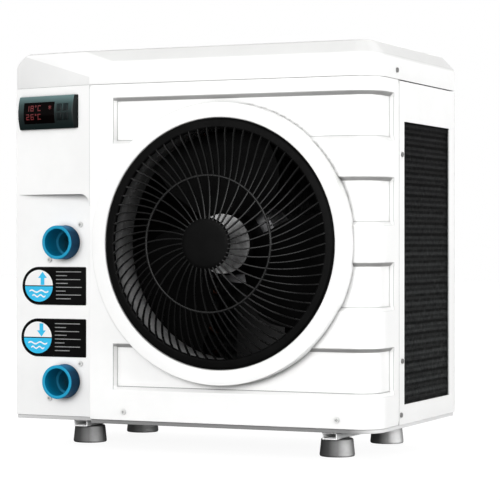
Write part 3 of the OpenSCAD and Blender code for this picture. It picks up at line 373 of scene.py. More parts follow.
def edit(obj, change):
    """Runs a bmesh change on a piece's own mesh, and shades its faces smooth."""
    bm = bmesh.new()
    bm.from_mesh(obj.data)
    change(bm)
    for face in bm.faces:
        face.smooth = True
    bm.to_mesh(obj.data)
    bm.free()


def soften(obj, width, segments, angle):
    """Rounds the edges that are sharper than angle, in degrees."""
    bevel = obj.modifiers.new("edges", "BEVEL")
    bevel.width = width * MM
    bevel.segments = segments
    bevel.limit_method = "ANGLE"
    bevel.angle_limit = math.radians(angle)


def thicken(obj, thickness):
    """Gives an open skin a wall on its inner side."""
    shell = obj.modifiers.new("wall", "SOLIDIFY")
    shell.thickness = thickness * MM
    shell.offset = -1


def even_normals(obj, weight=50):
    """Lets large flat faces rule the shading of their edges."""
    normals = obj.modifiers.new("normals", "WEIGHTED_NORMAL")
    normals.weight = weight


def fillet(corners, steps):
    """Rounds a closed outline whose corners are (u, v, radius)."""
    out = []
    for i, (u, v, radius) in enumerate(corners):
        if radius == 0:
            out.append((u, v))
            continue
        p = Vector((u, v))
        before = Vector(corners[i - 1][:2]) - p
        after = Vector(corners[(i + 1) % len(corners)][:2]) - p
        half = before.angle(after) / 2
        run = min(radius / math.tan(half), 0.49 * before.length, 0.49 * after.length)
        radius = run * math.tan(half)
        middle = (before.normalized() + after.normalized()).normalized()
        centre = p + middle * (radius / math.sin(half))
        start = p + before.normalized() * run - centre
        end = p + after.normalized() * run - centre
        first = math.atan2(start.y, start.x)
        sweep = (math.atan2(end.y, end.x) - first + math.pi) % (2 * math.pi) - math.pi
        for k in range(steps + 1):
            a = first + sweep * k / steps
            out.append((centre.x + radius * math.cos(a), centre.y + radius * math.sin(a)))
    return out


class Build:
    """Collects verts and faces, so that one piece can be made of several shapes."""

    def __init__(self):
        self.verts, self.faces, self.mats = [], [], []

    def add(self, verts, faces, mat=0):
        base = len(self.verts)
        self.verts += verts
        self.faces += [tuple(base + i for i in f) for f in faces]
        self.mats += [mat] * len(faces)
        return self

    def lathe(self, outline, centre, axis="y", steps=96, mat=0, mats=None):
        """Turns a closed outline of (radius, height) about an axis through centre.
        mats gives each stretch of the outline its own material."""
        n = len(outline)
        verts = []
        for k in range(steps):
            a = 2 * math.pi * k / steps
            c, s = math.cos(a), math.sin(a)
            for r, h in outline:
                offset = (r * c, h, r * s) if axis == "y" else (r * c, r * s, h)
                verts.append(tuple(centre[i] + offset[i] for i in range(3)))
        faces = []
        for k in range(steps):
            m = (k + 1) % steps
            for i in range(n):
                j = (i + 1) % n
                faces.append((k * n + i, k * n + j, m * n + j, m * n + i))
        self.add(verts, faces, mat)
        if mats:
            self.mats[-len(faces):] = mats * steps
        return self

    def loft(self, sections, mat=0):
        """Joins closed sections with the same number of points, and caps both ends."""
        n = len(sections[0])
        verts = [p for section in sections for p in section]
        faces = []
        for k in range(len(sections) - 1):
            for i in range(n):
                j = (i + 1) % n
                faces.append((k * n + i, k * n + j, (k + 1) * n + j, (k + 1) * n + i))
        faces.append(tuple(range(n)))
        last = (len(sections) - 1) * n
        faces.append(tuple(last + i for i in reversed(range(n))))
        return self.add(verts, faces, mat)

    def plate(self, outline, y0, y1, mat=0):
        """An upright plate with an outline of (x, z), from y0 to y1."""
        return self.loft([[(x, y, z) for x, z in outline] for y in (y0, y1)], mat)

    def piece(self, name, slot, **options):
        return piece(name, self.verts, self.faces, slot, face_mats=self.mats, **options)


def cut_out(obj, shape, name):
    """Cuts a built shape out of a piece for good."""
    cutter = mesh_object(name, [place(v) for v in shape.verts], shape.faces)
    edit(cutter, lambda bm: bmesh.ops.recalc_face_normals(bm, faces=bm.faces))
    cut = obj.modifiers.new("cut", "BOOLEAN")
    cut.operation = "DIFFERENCE"
    cut.solver = "EXACT"
    cut.object = cutter
    bpy.context.view_layer.update()
    evaluated = obj.evaluated_get(bpy.context.evaluated_depsgraph_get())
    result = bpy.data.meshes.new_from_object(evaluated)
    obj.modifiers.remove(cut)
    obj.data = result
    bpy.data.objects.remove(cutter)


# ---------- front panel: a skin that wraps round the corner, with four recessed bands ----------

PANEL_X0 = EDGE + 0.05
FRONT_RUN = RIGHT - CORNER_R - PANEL_X0
ARC_RUN = math.pi / 2 * CORNER_R
PANEL_LIP_R, PANEL_CORNER_R = 0.8, 3.0
BAND_DEPTH, BAND_SLOPE, BAND_H, BAND_PITCH, BAND_CORNER_R = 5.0, 4.5, 54.0, 95.5, 6.0
LONG_BAND_X, SHORT_BAND_X = -90.75, 148.5
BAND_Z = [FAN_Z + (i - 1.5) * BAND_PITCH for i in range(4)]
BANDS = list(zip(BAND_Z, (LONG_BAND_X, SHORT_BAND_X, SHORT_BAND_X, LONG_BAND_X)))
RING_R, RING_OUT, OPENING_R = 161.0, 12.0, 143.0
HOLE_R = RING_R - 1.5       # the skin's hole, hidden under the ring
MAX_STEP, MIN_STEP = 5.0, 0.12


def side_run(y):
    """How far along the panel its right side reaches the place y."""
    return FRONT_RUN + ARC_RUN + y - CORNER_R


PANEL_END, BAND_END = side_run(73.5), side_run(57.0)


def wrapped(s, depth, z):
    """A point on the front panel: s runs along the front, round the corner and along the side."""
    if s <= FRONT_RUN:
        return (PANEL_X0 + s, depth, z)
    if s <= FRONT_RUN + ARC_RUN:
        a = (s - FRONT_RUN) / CORNER_R
        r = CORNER_R - depth
        return (RIGHT - CORNER_R + r * math.sin(a), CORNER_R - r * math.cos(a), z)
    return (RIGHT - depth, CORNER_R + s - FRONT_RUN - ARC_RUN, z)


def depth_inside(u, v, u0, u1, v0, v1, radius):
    """How far a point is inside a rounded rectangle, negative outside it."""
    qu = abs(u - (u0 + u1) / 2) - (u1 - u0) / 2 + radius
    qv = abs(v - (v0 + v1) / 2) - (v1 - v0) / 2 + radius
    return radius - math.hypot(max(qu, 0), max(qv, 0)) - min(max(qu, qv), 0)


def eased(d):
    """A slope from 0 to 1 over the band's edge, with a small rounding at its top and foot."""
    soft = 0.7
    out = 0.0
    for edge, sign in ((0.0, 1.0), (BAND_SLOPE, -1.0)):
        t = min(d - edge, soft)
        if t > -soft:
            out += sign * ((t + soft) ** 2 / (4 * soft) + max(d - edge - soft, 0.0))
    return out / BAND_SLOPE


def panel_depth(s, z):
    """How far the panel's face lies behind its front, at a point of the skin."""
    depth = 0.0
    for middle, start in BANDS:
        low, high = middle - BAND_H / 2, middle + BAND_H / 2
        depth += BAND_DEPTH * eased(depth_inside(s, z, start - PANEL_X0, BAND_END, low, high, BAND_CORNER_R))
    rim = depth_inside(s, z, 0, PANEL_END, PANEL_LOW, PANEL_HIGH, PANEL_CORNER_R)
    if rim < PANEL_LIP_R:
        depth += PANEL_LIP_R - math.sqrt(max(PANEL_LIP_R ** 2 - (PANEL_LIP_R - rim) ** 2, 0))
    return depth


# The panel's finishes: the white plastic, and three painted shades for the bands' slopes.
FLAT, TOP, LOW, END = range(4)
PANEL_FINISHES = ("white_plastic", "white_slope_shade_top", "white_slope_shade_low", "white_slope_shade_end")


def band_slope_shade(s, z):
    """Which of the panel's finishes a point has: flat, or one of the painted shades on the bands' slopes."""
    rim_w, low_foot, end_foot = 1.4, 3.1, 3.6
    for middle, start in BANDS:
        high, low = middle + BAND_H / 2 - z, z - middle + BAND_H / 2
        nearest = min(high, low, s - start + PANEL_X0, BAND_END - s)
        if not 0 < nearest < BAND_SLOPE:
            continue
        if nearest == high:
            return END if nearest < rim_w else TOP
        if nearest == low:
            foot = TOP if middle == BAND_Z[0] else END
            return foot if nearest > low_foot else LOW
        return END if nearest < rim_w or nearest > end_foot else LOW
    return FLAT


def stations(low, high, edges):
    """Places from low to high, close together round each edge and the lip, and never far apart."""
    close_by = (-0.9, -0.45, 0.0, 0.45, 0.9)
    on_lip = (0.15, 0.35, 0.6, 0.85)
    marks = {low, high}
    marks |= {low + k for k in on_lip} | {high - k for k in on_lip}
    for edge in edges:
        for start in (edge, edge + BAND_SLOPE):
            marks |= {round(start + k, 3) for k in close_by if low < start + k < high}
    out = [low]
    for mark in sorted(marks)[1:]:
        base = out[-1]
        gap = mark - base
        if gap >= MIN_STEP:
            parts = math.ceil(gap / MAX_STEP)
            out += [base + gap * k / parts for k in range(1, parts + 1)]
    return out


def panel_grid():
    """The skin's stations along the panel, with 16 even steps round its corner, and up it."""
    s_edges = [LONG_BAND_X - PANEL_X0, SHORT_BAND_X - PANEL_X0, BAND_END - BAND_SLOPE]
    z_edges = [z - BAND_H / 2 for z in BAND_Z] + [z + BAND_H / 2 - BAND_SLOPE for z in BAND_Z]
    arc = {FRONT_RUN + ARC_RUN * k / 16 for k in range(17)}
    margin = 0.5
    straight = {round(s, 3) for s in stations(0.0, PANEL_END, s_edges)
                if not FRONT_RUN - margin < s < FRONT_RUN + ARC_RUN + margin}
    return sorted(straight | arc), stations(PANEL_LOW, PANEL_HIGH, z_edges)


def build_front_panel():
    ss, zs = panel_grid()
    centre_s = FAN_X - PANEL_X0

    def settled(s, z):
        """A station's point, kept outside the hole and inside the rounded lower left corner."""
        from_hole = math.hypot(s - centre_s, z - FAN_Z)
        if from_hole < HOLE_R:
            scale = HOLE_R / (from_hole or 1.0)
            s, z = centre_s + (s - centre_s) * scale, FAN_Z + (z - FAN_Z) * scale
        ds, dz = PANEL_CORNER_R - s, PANEL_CORNER_R - (z - PANEL_LOW)
        if ds > 0 and dz > 0 and math.hypot(ds, dz) > PANEL_CORNER_R:
            scale = PANEL_CORNER_R / math.hypot(ds, dz)
            s, z = PANEL_CORNER_R - ds * scale, PANEL_LOW + PANEL_CORNER_R - dz * scale
        return wrapped(s, panel_depth(s, z), z)

    inside = [[math.hypot(s - centre_s, z - FAN_Z) < HOLE_R for z in zs] for s in ss]
    faces, mats = [], []
    n = len(zs)
    for i in range(len(ss) - 1):
        for j in range(n - 1):
            if inside[i][j] and inside[i + 1][j] and inside[i][j + 1] and inside[i + 1][j + 1]:
                continue
            mats.append(band_slope_shade((ss[i] + ss[i + 1]) / 2, (zs[j] + zs[j + 1]) / 2))
            faces.append((i * n + j, (i + 1) * n + j, (i + 1) * n + j + 1, i * n + j + 1))
    used = sorted({i for f in faces for i in f})
    renumber = {old: new for new, old in enumerate(used)}
    panel = piece("front_panel_skin", [settled(ss[i // n], zs[i % n]) for i in used],
                  [tuple(renumber[i] for i in f) for f in faces], "white_plastic",
                  replaced="front_panel", closed=False, sharp=None, finishes=PANEL_FINISHES,
                  face_mats=mats)
    edit(panel, lambda bm: bmesh.ops.dissolve_degenerate(bm, dist=1e-7, edges=bm.edges))
    thicken(panel, WALL)
    even_normals(panel, 100)


def build_fan_ring():
    wall, outer_foot, inner_foot = 3, 7, 5
    ring = fillet([(RING_R, outer_foot, 0.5), (RING_R, -RING_OUT, 1.2), (OPENING_R, -RING_OUT, 1.8),
                   (OPENING_R, inner_foot, 0.5), (OPENING_R + wall, inner_foot, 0.5),
                   (OPENING_R + wall, -RING_OUT + wall, 1), (RING_R - wall, -RING_OUT + wall, 1),
                   (RING_R - wall, outer_foot, 0.5)], 6)
    Build().lathe(ring, (FAN_X, 0, FAN_Z), steps=192).piece("fan_ring", "white_plastic")


build_front_panel()
build_fan_ring()


# ---------- lid ----------

SKIRT_Z = 450.3             # where the upright skirt ends and the bevels start
LID_BEVEL, LID_LEFT_BEVEL = 12, 19


def lid_outline(inset, left, z):
    """The lid's outline at height z. The angled face stays upright, so only its ends move."""
    r = CORNER_R - inset
    points = [(left, angled_y(left)), (EDGE - inset * ANGLED_W / ANGLED_DROP, inset)]
    points += [(RIGHT - CORNER_R + r * s, CORNER_R - r * c) for c, s in QUARTER]
    points += [(RIGHT - inset, DEPTH - inset), (left, DEPTH - inset)]
    return [(x, y, z) for x, y in points]


def build_lid():
    """A convex hull of outlines, with its front left corner cut off by a facet."""
    points = lid_outline(0, LEFT, SEAM_Z)
    for t in (0.0, 0.3, 0.55, 0.75, 0.9, 1.0):
        left = LEFT + LID_LEFT_BEVEL * t ** 1.8
        points += lid_outline(LID_BEVEL * t, left, SKIRT_Z + (TOP_Z - SKIRT_Z) * t)
    lid = piece("lid_shell", points, [], "white_plastic", replaced="lid", closed=False, sharp=None,
                finishes=("white_plastic", "white_lid_side_shade"))
    facet_low = place((EDGE, 0, SEAM_Z + 8.8))
    facet_right = place((EDGE + 30, 0, SKIRT_Z))
    facet_left = place((LEFT + 25, angled_y(LEFT + 25), TOP_Z - 6))
    facet_normal = (facet_left - facet_low).cross(facet_right - facet_low).normalized()
    if facet_normal.z < 0:
        facet_normal.negate()

    def shape(bm):
        bmesh.ops.convex_hull(bm, input=bm.verts)
        bmesh.ops.dissolve_limit(bm, angle_limit=math.radians(0.6), verts=bm.verts, edges=bm.edges)
        cut = bmesh.ops.bisect_plane(bm, geom=bm.verts[:] + bm.edges[:] + bm.faces[:], dist=1e-6,
                                     plane_co=facet_low, plane_no=facet_normal, clear_outer=True)
        rim = [e for e in cut["geom_cut"] if isinstance(e, bmesh.types.BMEdge)]
        bmesh.ops.contextual_create(bm, geom=rim)
        bmesh.ops.recalc_face_normals(bm, faces=bm.faces)
        # Painted shade: the lid's upright faces that turn to the left front take the darker white.
        for f in bm.faces:
            if abs(f.normal.z) < 0.1 and f.normal.y < -0.5 and f.normal.x < -0.1:
                f.material_index = 1
        bottom = [f for f in bm.faces if f.normal.z < -0.9]
        bmesh.ops.delete(bm, geom=bottom, context="FACES_ONLY")

    edit(lid, shape)
    soften(lid, 3.0, 4, 20)
    thicken(lid, 2.6)
    even_normals(lid)


build_lid()


# ---------- left panel with its bay ----------

def bay_cutter():
    """The bay's space: open to the left, the front and below, with one rounded corner."""
    arc = [(EDGE - BAY_CORNER_R + BAY_CORNER_R * c, BAY_TOP - BAY_CORNER_R + BAY_CORNER_R * s)
           for c, s in QUARTER]
    outline = [(LEFT - 5, PANEL_LOW - 5), (EDGE, PANEL_LOW - 5)] + arc + [(LEFT - 5, BAY_TOP)]
    return Build().plate(outline, -5, BAY_Y)


def build_left_panel():
    hole_r, lip, back = 20.4, 3.3, 272.2
    plan = [(LEFT, ANGLED_DROP), (EDGE, 0), (EDGE, lip), (EDGE + 3, lip), (EDGE + 3, back), (LEFT, back)]
    body = Build().loft([[(x, y, z) for x, y in plan] for z in (PANEL_LOW, PANEL_HIGH)])
    panel = body.piece("left_panel_skin", "white_plastic", replaced="left_panel", sharp=None)
    cut_out(panel, bay_cutter(), "bay_cutter")
    for z in SOCKET_Z:
        bore = [(0.01, 10), (hole_r, 10), (hole_r, 60), (0.01, 60)]
        cut_out(panel, Build().lathe(bore, (SOCKET_X, 0, z), steps=64), "socket_cutter")

    def is_open(f):
        """Whether a face of the solid is on its back, top, foot or right side, or in a bore."""
        x, y, z = f.calc_center_median() / MM
        from_socket = min(math.hypot(x - SOCKET_X, z - socket_z) for socket_z in SOCKET_Z)
        return (f.normal.y > 0.9
                or abs(f.normal.z) > 0.9 and not PANEL_LOW + 1 <= z <= PANEL_HIGH - 1
                or f.normal.x > 0.9 and x > EDGE - 1
                or y - FRONT_Y > BAY_Y + 0.5 and from_socket < hole_r + 0.6)

    def open_up(bm):
        bmesh.ops.dissolve_limit(bm, angle_limit=math.radians(0.5), verts=bm.verts, edges=bm.edges)
        bmesh.ops.delete(bm, geom=[f for f in bm.faces if is_open(f)], context="FACES")

    edit(panel, open_up)
    soften(panel, 0.7, 3, 14)
    thicken(panel, WALL)
    even_normals(panel)


build_left_panel()


# ---------- fan grille ----------

# The dome's profile, as (radius, y)
DOME = [(28, -42.6), (34, -42.4), (50, -40.8), (64, -38.6), (77, -36), (90, -32.8), (103, -29),
        (115, -24.6), (124, -19.6), (130, -14.6), (133, -11.2)]
MIDDLE_R, MIDDLE_Y = DOME[4]
RIM_R, RIM_Y = DOME[-1]
INNER_RIBS, OUTER_RIBS = 36, 72
FAN_CENTRE = (FAN_X, 0, FAN_Z)
IN_RIB, IN_DUCT = 1, 2
GRILLE_FINISHES = ("grille_black", "grille_rib", "grille_duct")


def dome_y(r):
    for (r0, y0), (r1, y1) in zip(DOME, DOME[1:]):
        if r <= r1:
            return y0 + (y1 - y0) * (r - r0) / (r1 - r0)
    return RIM_Y


def rib_path(r0, r1, angle, steps):
    """Points of one rib, from radius r0 to r1, swept back as it runs outwards."""
    path = []
    for k in range(steps + 1):
        r = r0 + (r1 - r0) * k / steps
        a = angle - math.radians(20) * (r - 30) / 101
        path.append(Vector((FAN_X + r * math.sin(a), dome_y(r), FAN_Z + r * math.cos(a))))
    return path


def add_rib(build, path, width, depth=3.0):
    """A bar with rounded edges along a path, square to the dome."""
    section = fillet([(-width / 2, -depth / 2, 0.5), (width / 2, -depth / 2, 0.5),
                      (width / 2, depth / 2, 0.4), (-width / 2, depth / 2, 0.4)], 2)
    sections = []
    for k, p in enumerate(path):
        onwards = (path[min(k + 1, len(path) - 1)] - path[max(k - 1, 0)]).normalized()
        side = onwards.cross(Vector((0, 1, 0))).normalized()
        deep = side.cross(onwards).normalized()
        if deep.y < 0:
            deep.negate()
        sections.append([tuple(p + side * u + deep * v) for u, v in section])
    build.loft(sections, IN_RIB)


def add_duct(build):
    """The round duct behind the flange, which narrows towards the fan."""
    outer_r, throat_r, end_y = 138.6, 134, 41
    wall, throat_wall = 3.8, 2.4
    duct = fillet([(outer_r, -9.0, 0.2), (outer_r, 3, 6), (throat_r, 12, 8), (throat_r, end_y, 0.9),
                   (throat_r + throat_wall, end_y, 0.9), (throat_r + throat_wall, 13, 8),
                   (outer_r + wall, 4, 6), (outer_r + wall, -9.0, 0.2)], 6)
    build.lathe(duct, FAN_CENTRE, steps=160, mat=IN_DUCT)


def build_grille():
    g = Build()
    flange = fillet([(131, -9.2, 0.4), (131, -12.4, 1.0), (133, -13.4, 2.0), (140.5, -13.0, 2.0),
                     (142.5, -11.4, 1.2), (142.5, -2, 0.4), (139, -2, 0.4), (139, -9.2, 0.4)], 4)
    g.lathe(flange, FAN_CENTRE, steps=160)
    add_duct(g)
    half, front, behind = 1.3, MIDDLE_Y - 1.8, MIDDLE_Y + 1.6
    middle_ring = fillet([(MIDDLE_R - half, front, 0.7), (MIDDLE_R + half, front, 0.7),
                          (MIDDLE_R + half, behind, 0.5), (MIDDLE_R - half, behind, 0.5)], 3)
    g.lathe(middle_ring, FAN_CENTRE, steps=128, mat=IN_RIB)
    hub = [(0, -44.3), (14, -44.2), (24, -43.9), (28.4, -43.5), (29.6, -42.9), (30, -42), (30, -40.6),
           (29, -40), (0, -40)]
    g.lathe(hub, FAN_CENTRE)
    for i in range(INNER_RIBS):
        add_rib(g, rib_path(DOME[0][0], MIDDLE_R, math.radians(i * 360 / INNER_RIBS), 8), 1.8)
    for i in range(OUTER_RIBS):
        add_rib(g, rib_path(MIDDLE_R - 0.5, RIM_R, math.radians(i * 360 / OUTER_RIBS), 12), 1.7)
    g.piece("grille_moulding", "grille_black", replaced="fan_grille", sharp=40, finishes=GRILLE_FINISHES)


build_grille()


# ---------- fan ----------

BLADES, BLADE_ROOT, BLADE_TIP, BLADE_Y = 3, 34, 128.5, 23
BLADE_GRID = 15             # points along and across a blade


def blade_points(turn):
    """A blade's middle surface as rows of (radius, angle, y), from root to tip."""
    grid = []
    for i in range(BLADE_GRID):
        t = i / (BLADE_GRID - 1)
        r = BLADE_ROOT + (BLADE_TIP - BLADE_ROOT) * t
        half = math.radians(40 + 8 * math.sin(math.pi * min(t * 1.1, 1)) - 6 * t)
        lead = math.radians(turn - 14 * t * t)
        row = []
        for j in range(BLADE_GRID):
            v = j / (BLADE_GRID - 1) * 2 - 1
            pitch = 15.5 * (1 - 0.25 * t) * v
            camber = 3.0 * (1 - v * v) * (0.4 + t)
            row.append((r, lead + half * v, BLADE_Y + (pitch + camber)))
        grid.append(row)
    return grid


def add_blade(build, turn):
    """A blade that thins towards its edges."""
    n = BLADE_GRID
    grid = blade_points(turn)
    verts, faces = [], []
    for side in (-1.1, 1.1):
        for i, row in enumerate(grid):
            for j, (r, a, y) in enumerate(row):
                edge = min(i, n - 1 - i, j, n - 1 - j)
                share = (0.35, 0.85, 1.0)[min(edge, 2)]
                verts.append((FAN_X + r * math.sin(a), y + side * share, FAN_Z + r * math.cos(a)))
    top = n * n
    for i in range(n - 1):
        for j in range(n - 1):
            quad = (i * n + j, (i + 1) * n + j, (i + 1) * n + j + 1, i * n + j + 1)
            faces += [quad, tuple(top + k for k in reversed(quad))]
    rim = [i * n for i in range(n)] + [(n - 1) * n + j for j in range(1, n)]
    rim += [i * n + n - 1 for i in range(n - 2, -1, -1)] + list(range(n - 2, 0, -1))
    for p, q in zip(rim, rim[1:] + rim[:1]):
        faces.append((p, q, top + q, top + p))
    build.add(verts, faces)


def build_fan():
    f = Build()
    hub = fillet([(4.1, 4.1, 0), (10, 4.1, 0), (32, 4.3, 3), (36, 9, 4), (36, 42, 1), (33, 42, 0.5),
                  (33, 17, 1), (4.1, 17, 0)], 4)
    f.lathe(hub, FAN_CENTRE)
    for b in range(BLADES):
        add_blade(f, b * 360 / BLADES)
    f.piece("fan_rotor", "fan_grey", replaced="axial_fan", body="fan", sharp=50)


build_fan()


# ---------- coil fins ----------

FIN_PITCH, FIN_LOW, FIN_H, FIN_WAVES = 2.0, 36.0, 372.0, 116
COIL_X, COIL_Y = 219.25, 256.5          # the middle of the coil's side leg and of its rear leg
COIL_INNER = -12


def fin_places():
    """Each fin's place, the way it points out, how far it reaches and half its thickness."""
    first_y, end_y, first_x, end_x = 88.6, 267.5, COIL_X - 14.0, -65.5
    count_side = math.ceil((end_y - first_y) / FIN_PITCH)
    count_rear = math.ceil((first_x - end_x) / FIN_PITCH)
    side = [((COIL_X, first_y + k * FIN_PITCH), (1, 0), 14.8, 0.4) for k in range(count_side)]
    rear = [((first_x - k * FIN_PITCH, COIL_Y), (0, 1), 12.0, 0.7) for k in range(count_rear)]
    return side + rear


def build_fins():
    f = Build()
    ripple = 0.45
    for (px, py), (nx, ny), reach, half in fin_places():
        tx, ty = -ny * half, nx * half
        sections = []
        for k in range(FIN_WAVES + 1):
            z = FIN_LOW + FIN_H * k / FIN_WAVES
            outer = reach + (0.0 if k % 2 else -2 * ripple)
            sections.append([(px + nx * out + side * tx, py + ny * out + side * ty, z)
                             for out, side in ((outer, -1), (outer, 1), (COIL_INNER, 1), (COIL_INNER, -1))])
        f.loft(sections)
    f.piece("coil_fins", "fin_black", replaced="evaporator_fins", sharp=30)


build_fins()


# ---------- feet and sockets ----------

FEET = [(-153.75, 61), (-153.75, 200), (178.5, 30), (178.5, 192)]


def build_feet():
    f = Build()
    outline = fillet([(8, 0, 0.6), (19.4, 0, 1.2), (20, 2, 1.0), (18.2, 19, 0.8), (17.4, 20, 0.5),
                      (4.2, 20, 0), (4.2, 8, 0), (8, 8, 0)], 4)
    for x, y in FEET:
        f.lathe(outline, (x, y, 0), axis="z", steps=64)
    f.piece("feet", "foot_rubber", replaced="rubber_feet", sharp=45)


def build_socket(name, z, node):
    """A glued socket with its flange and tail. Its mouth, outside and bore have their own finishes, and those of
    the outside and the bore paint light and shade.
    """
    bore_r, outside_r, flange_r, tail_r, passage_r = 16.1, 20, 27, 18.9, 13
    mouth_y, flange_y, back_y, end_y = 6.5, 30.1, 34, 49
    outline = fillet([(bore_r, mouth_y, 0.8), (outside_r, mouth_y, 0.9), (outside_r, flange_y, 0.3),
                      (flange_r, flange_y, 0.5), (flange_r, back_y, 0.5), (tail_r, back_y, 0.3),
                      (tail_r, end_y, 0.5), (passage_r, end_y, 0.5), (passage_r, back_y, 0.4),
                      (bore_r, back_y, 0.2)], 3)
    mouth, side, bore = range(3)
    mats = []
    for (r0, y0), (r1, y1) in zip(outline, outline[1:] + outline[:1]):
        if max(y0, y1) < mouth_y + 0.7:
            mats.append(mouth)
        else:
            mats.append(side if min(r0, r1) > bore_r + 0.9 else bore)
    b = Build().lathe(outline, (SOCKET_X, 0, z), mats=mats)
    b.piece(name, "socket_blue", replaced=node, sharp=40,
            finishes=("socket_blue", "socket_side", "socket_bore"))


build_feet()
build_socket("outlet_spigot", SOCKET_Z[0], "outlet_socket")
build_socket("inlet_spigot", SOCKET_Z[1], "inlet_socket")


# ---------- stickers ----------

IN_WHITE, IN_CYAN, IN_GREY = 1, 2, 3
LINE_LENGTHS = (34, 15, 33, 16, 35, 13, 34, 20)     # grey bars in place of words


def build_label(name, node, up):
    """A sticker with a round end: a disc with an arrow over water, and a few grey lines."""
    (x0, _, low_z), (x1, _, high_z) = box(node)
    z, r, disc = (low_z + high_z) / 2, (high_z - low_z) / 2, 19.0
    cx = x0 + r
    back_y, front_y = BAY_Y - 0.38, BAY_Y - 0.52
    ink_y = front_y - 0.1

    def half_disc(start, radius, rise=1.0, shift=0.0):
        angles = [start + math.pi * k / 32 for k in range(33)]
        return [(cx + radius * math.cos(a), z + shift + radius * math.sin(a) * rise) for a in angles]

    b = Build()
    square_end = [(x1 - 1, z - r), (x1, z - r + 1), (x1, z + r - 1), (x1 - 1, z + r)]
    b.plate(half_disc(math.pi / 2, r) + square_end, BAY_Y - 0.4, BAY_Y - 0.02)
    b.plate(half_disc(0, disc, 0.97, 0.6), front_y, back_y, IN_WHITE)
    b.plate(half_disc(math.pi, disc, 0.97, -0.6), front_y, back_y, IN_CYAN)

    way, foot = (1, z + 1.0) if up else (-1, z + 17.0)
    stem, head, middle = 2.6, 6.0, cx + 5
    neck, tip = foot + way * 8.5, foot + way * 16.0
    arrow = [(middle - stem, foot), (middle + stem, foot), (middle + stem, neck), (middle + head, neck),
             (middle, tip), (middle - head, neck), (middle - stem, neck)]
    b.plate(arrow, ink_y, back_y, IN_CYAN)

    for row in range(2):
        level, wide, thick = z - 6.5 - row * 5.5, 13.0 - row * 4.0, 1.8
        crest = [(cx - wide + 2 * wide * k / 24, level + 1.2 * math.sin(math.pi * k / 6) + thick / 2)
                 for k in range(25)]
        b.plate(crest + [(x, v - thick) for x, v in reversed(crest)], ink_y, back_y, IN_WHITE)

    start = cx + disc + 4.5
    for row, length in enumerate(LINE_LENGTHS):
        level, half = z + 17.0 - row * 4.6, 0.45
        line = [(start, level - half), (start + length, level - half), (start + length, level + half),
                (start, level + half)]
        b.plate(line, front_y, back_y, IN_GREY)
    b.piece(name, "label_black", replaced=node, sharp=30,
            finishes=("label_black", "print_white", "print_cyan", "print_grey"))


build_label("outlet_sticker", "outlet_label", True)
build_label("inlet_sticker", "inlet_label", False)


# ---------- controller, laid out along the angled face ----------

CTL_U = (-110.6, -17.6)
WIN_U, WIN_Z = (-100.5, -50.5), (381.5, 407.0)
KEY_U, KEY_Z = (-42.9, -32.3), (389.0, 400.0)
KEY_W, KEY_H, KEY_GAP = 7.8, 8.4, 0.25
WIN_FLOOR, KEY_FLOOR, PANE_INSET = 3.2, 2.2, 0.35


def barrel(z):
    """How far the controller's curved front stands out at height z."""
    proud, drop = 6.5, 3.7
    t = (z - sum(CTL_Z) / 2) / ((CTL_Z[1] - CTL_Z[0]) / 2)
    return proud - drop * t * t


def barrel_section(u, scale, z0, z1, extra=0.0, back=0.0, steps=14):
    """The curved front's outline at u, from back to the front scaled and moved out by extra."""
    heights = [z0 + (z1 - z0) * k / steps for k in range(steps + 1)]
    front = [on_face(u, back + (barrel(z) + extra - back) * scale, z) for z in heights]
    return [on_face(u, back, z0)] + front + [on_face(u, back, z1)]


def controller_cutter():
    """The pockets for the window and the keys."""
    half_w, half_h = KEY_W / 2 + KEY_GAP, KEY_H / 2 + KEY_GAP
    spans = [(*WIN_U, *WIN_Z, WIN_FLOOR)]
    spans += [(u - half_w, u + half_w, z - half_h, z + half_h, KEY_FLOOR) for u in KEY_U for z in KEY_Z]
    cut = Build()
    outside = 9
    for u0, u1, z0, z1, floor in spans:
        corners = ((u0, floor), (u1, floor), (u1, outside), (u0, outside))
        cut.loft([[on_face(u, out, z) for u, out in corners] for z in (z0, z1)])
    return cut


def build_bezel():
    (left, right), (low, high) = CTL_U, CTL_Z
    ends = ((left, 0.55, 0.5), (left + 0.7, 0.93, 0.1), (left + 1.6, 1.0, 0), (right - 4.6, 1.0, 0),
            (right - 3.8, 0.93, 0), (right, 0.15, 0.3))
    b = Build().loft([barrel_section(u, scale, low + inset, high - inset) for u, scale, inset in ends])
    bezel = b.piece("controller_body", "bezel_teal", replaced="controller_bezel", sharp=None,
                    finishes=("bezel_teal", "bezel_end_shade"))
    cut_out(bezel, controller_cutter(), "controller_cutter")
    end_x = place(on_face(right - 4.4, 0, 0)).x

    # Painted shade: the bezel's right end takes the near black finish.
    def shade_end(bm):
        for f in bm.faces:
            if f.calc_center_median().x > end_x:
                f.material_index = 1

    edit(bezel, shade_end)
    bezel.data.set_sharp_from_angle(angle=math.radians(28))


def build_pane():
    gap = 0.05
    pane = Build().loft([barrel_section(u, 1.0, WIN_Z[0] + gap, WIN_Z[1] - gap, extra=-PANE_INSET, back=3.3)
                         for u in (WIN_U[0] + gap, WIN_U[1] - gap)])
    pane.piece("display_pane", "window_dark", replaced="display_window", sharp=40)


def build_key(name, u, z):
    """A key that stands out of the bezel, with rounded left and right ends."""
    ends = ((0.0, 0.55, 0.4), (0.3, 0.9, 0.1), (0.9, 1.0, 0.0))
    half_w, half_h = KEY_W / 2, KEY_H / 2
    places = [(u - half_w + from_end, *rest) for from_end, *rest in ends]
    places += [(u + half_w - from_end, *rest) for from_end, *rest in reversed(ends)]
    k = Build().loft([barrel_section(at, scale, z - half_h + inset, z + half_h - inset,
                                     extra=0.7, back=3.6, steps=8) for at, scale, inset in places])
    k.piece("key_" + name, "button_dark", replaced="button_" + name, body=name + "_key", sharp=45)


# ---------- the display's digits ----------

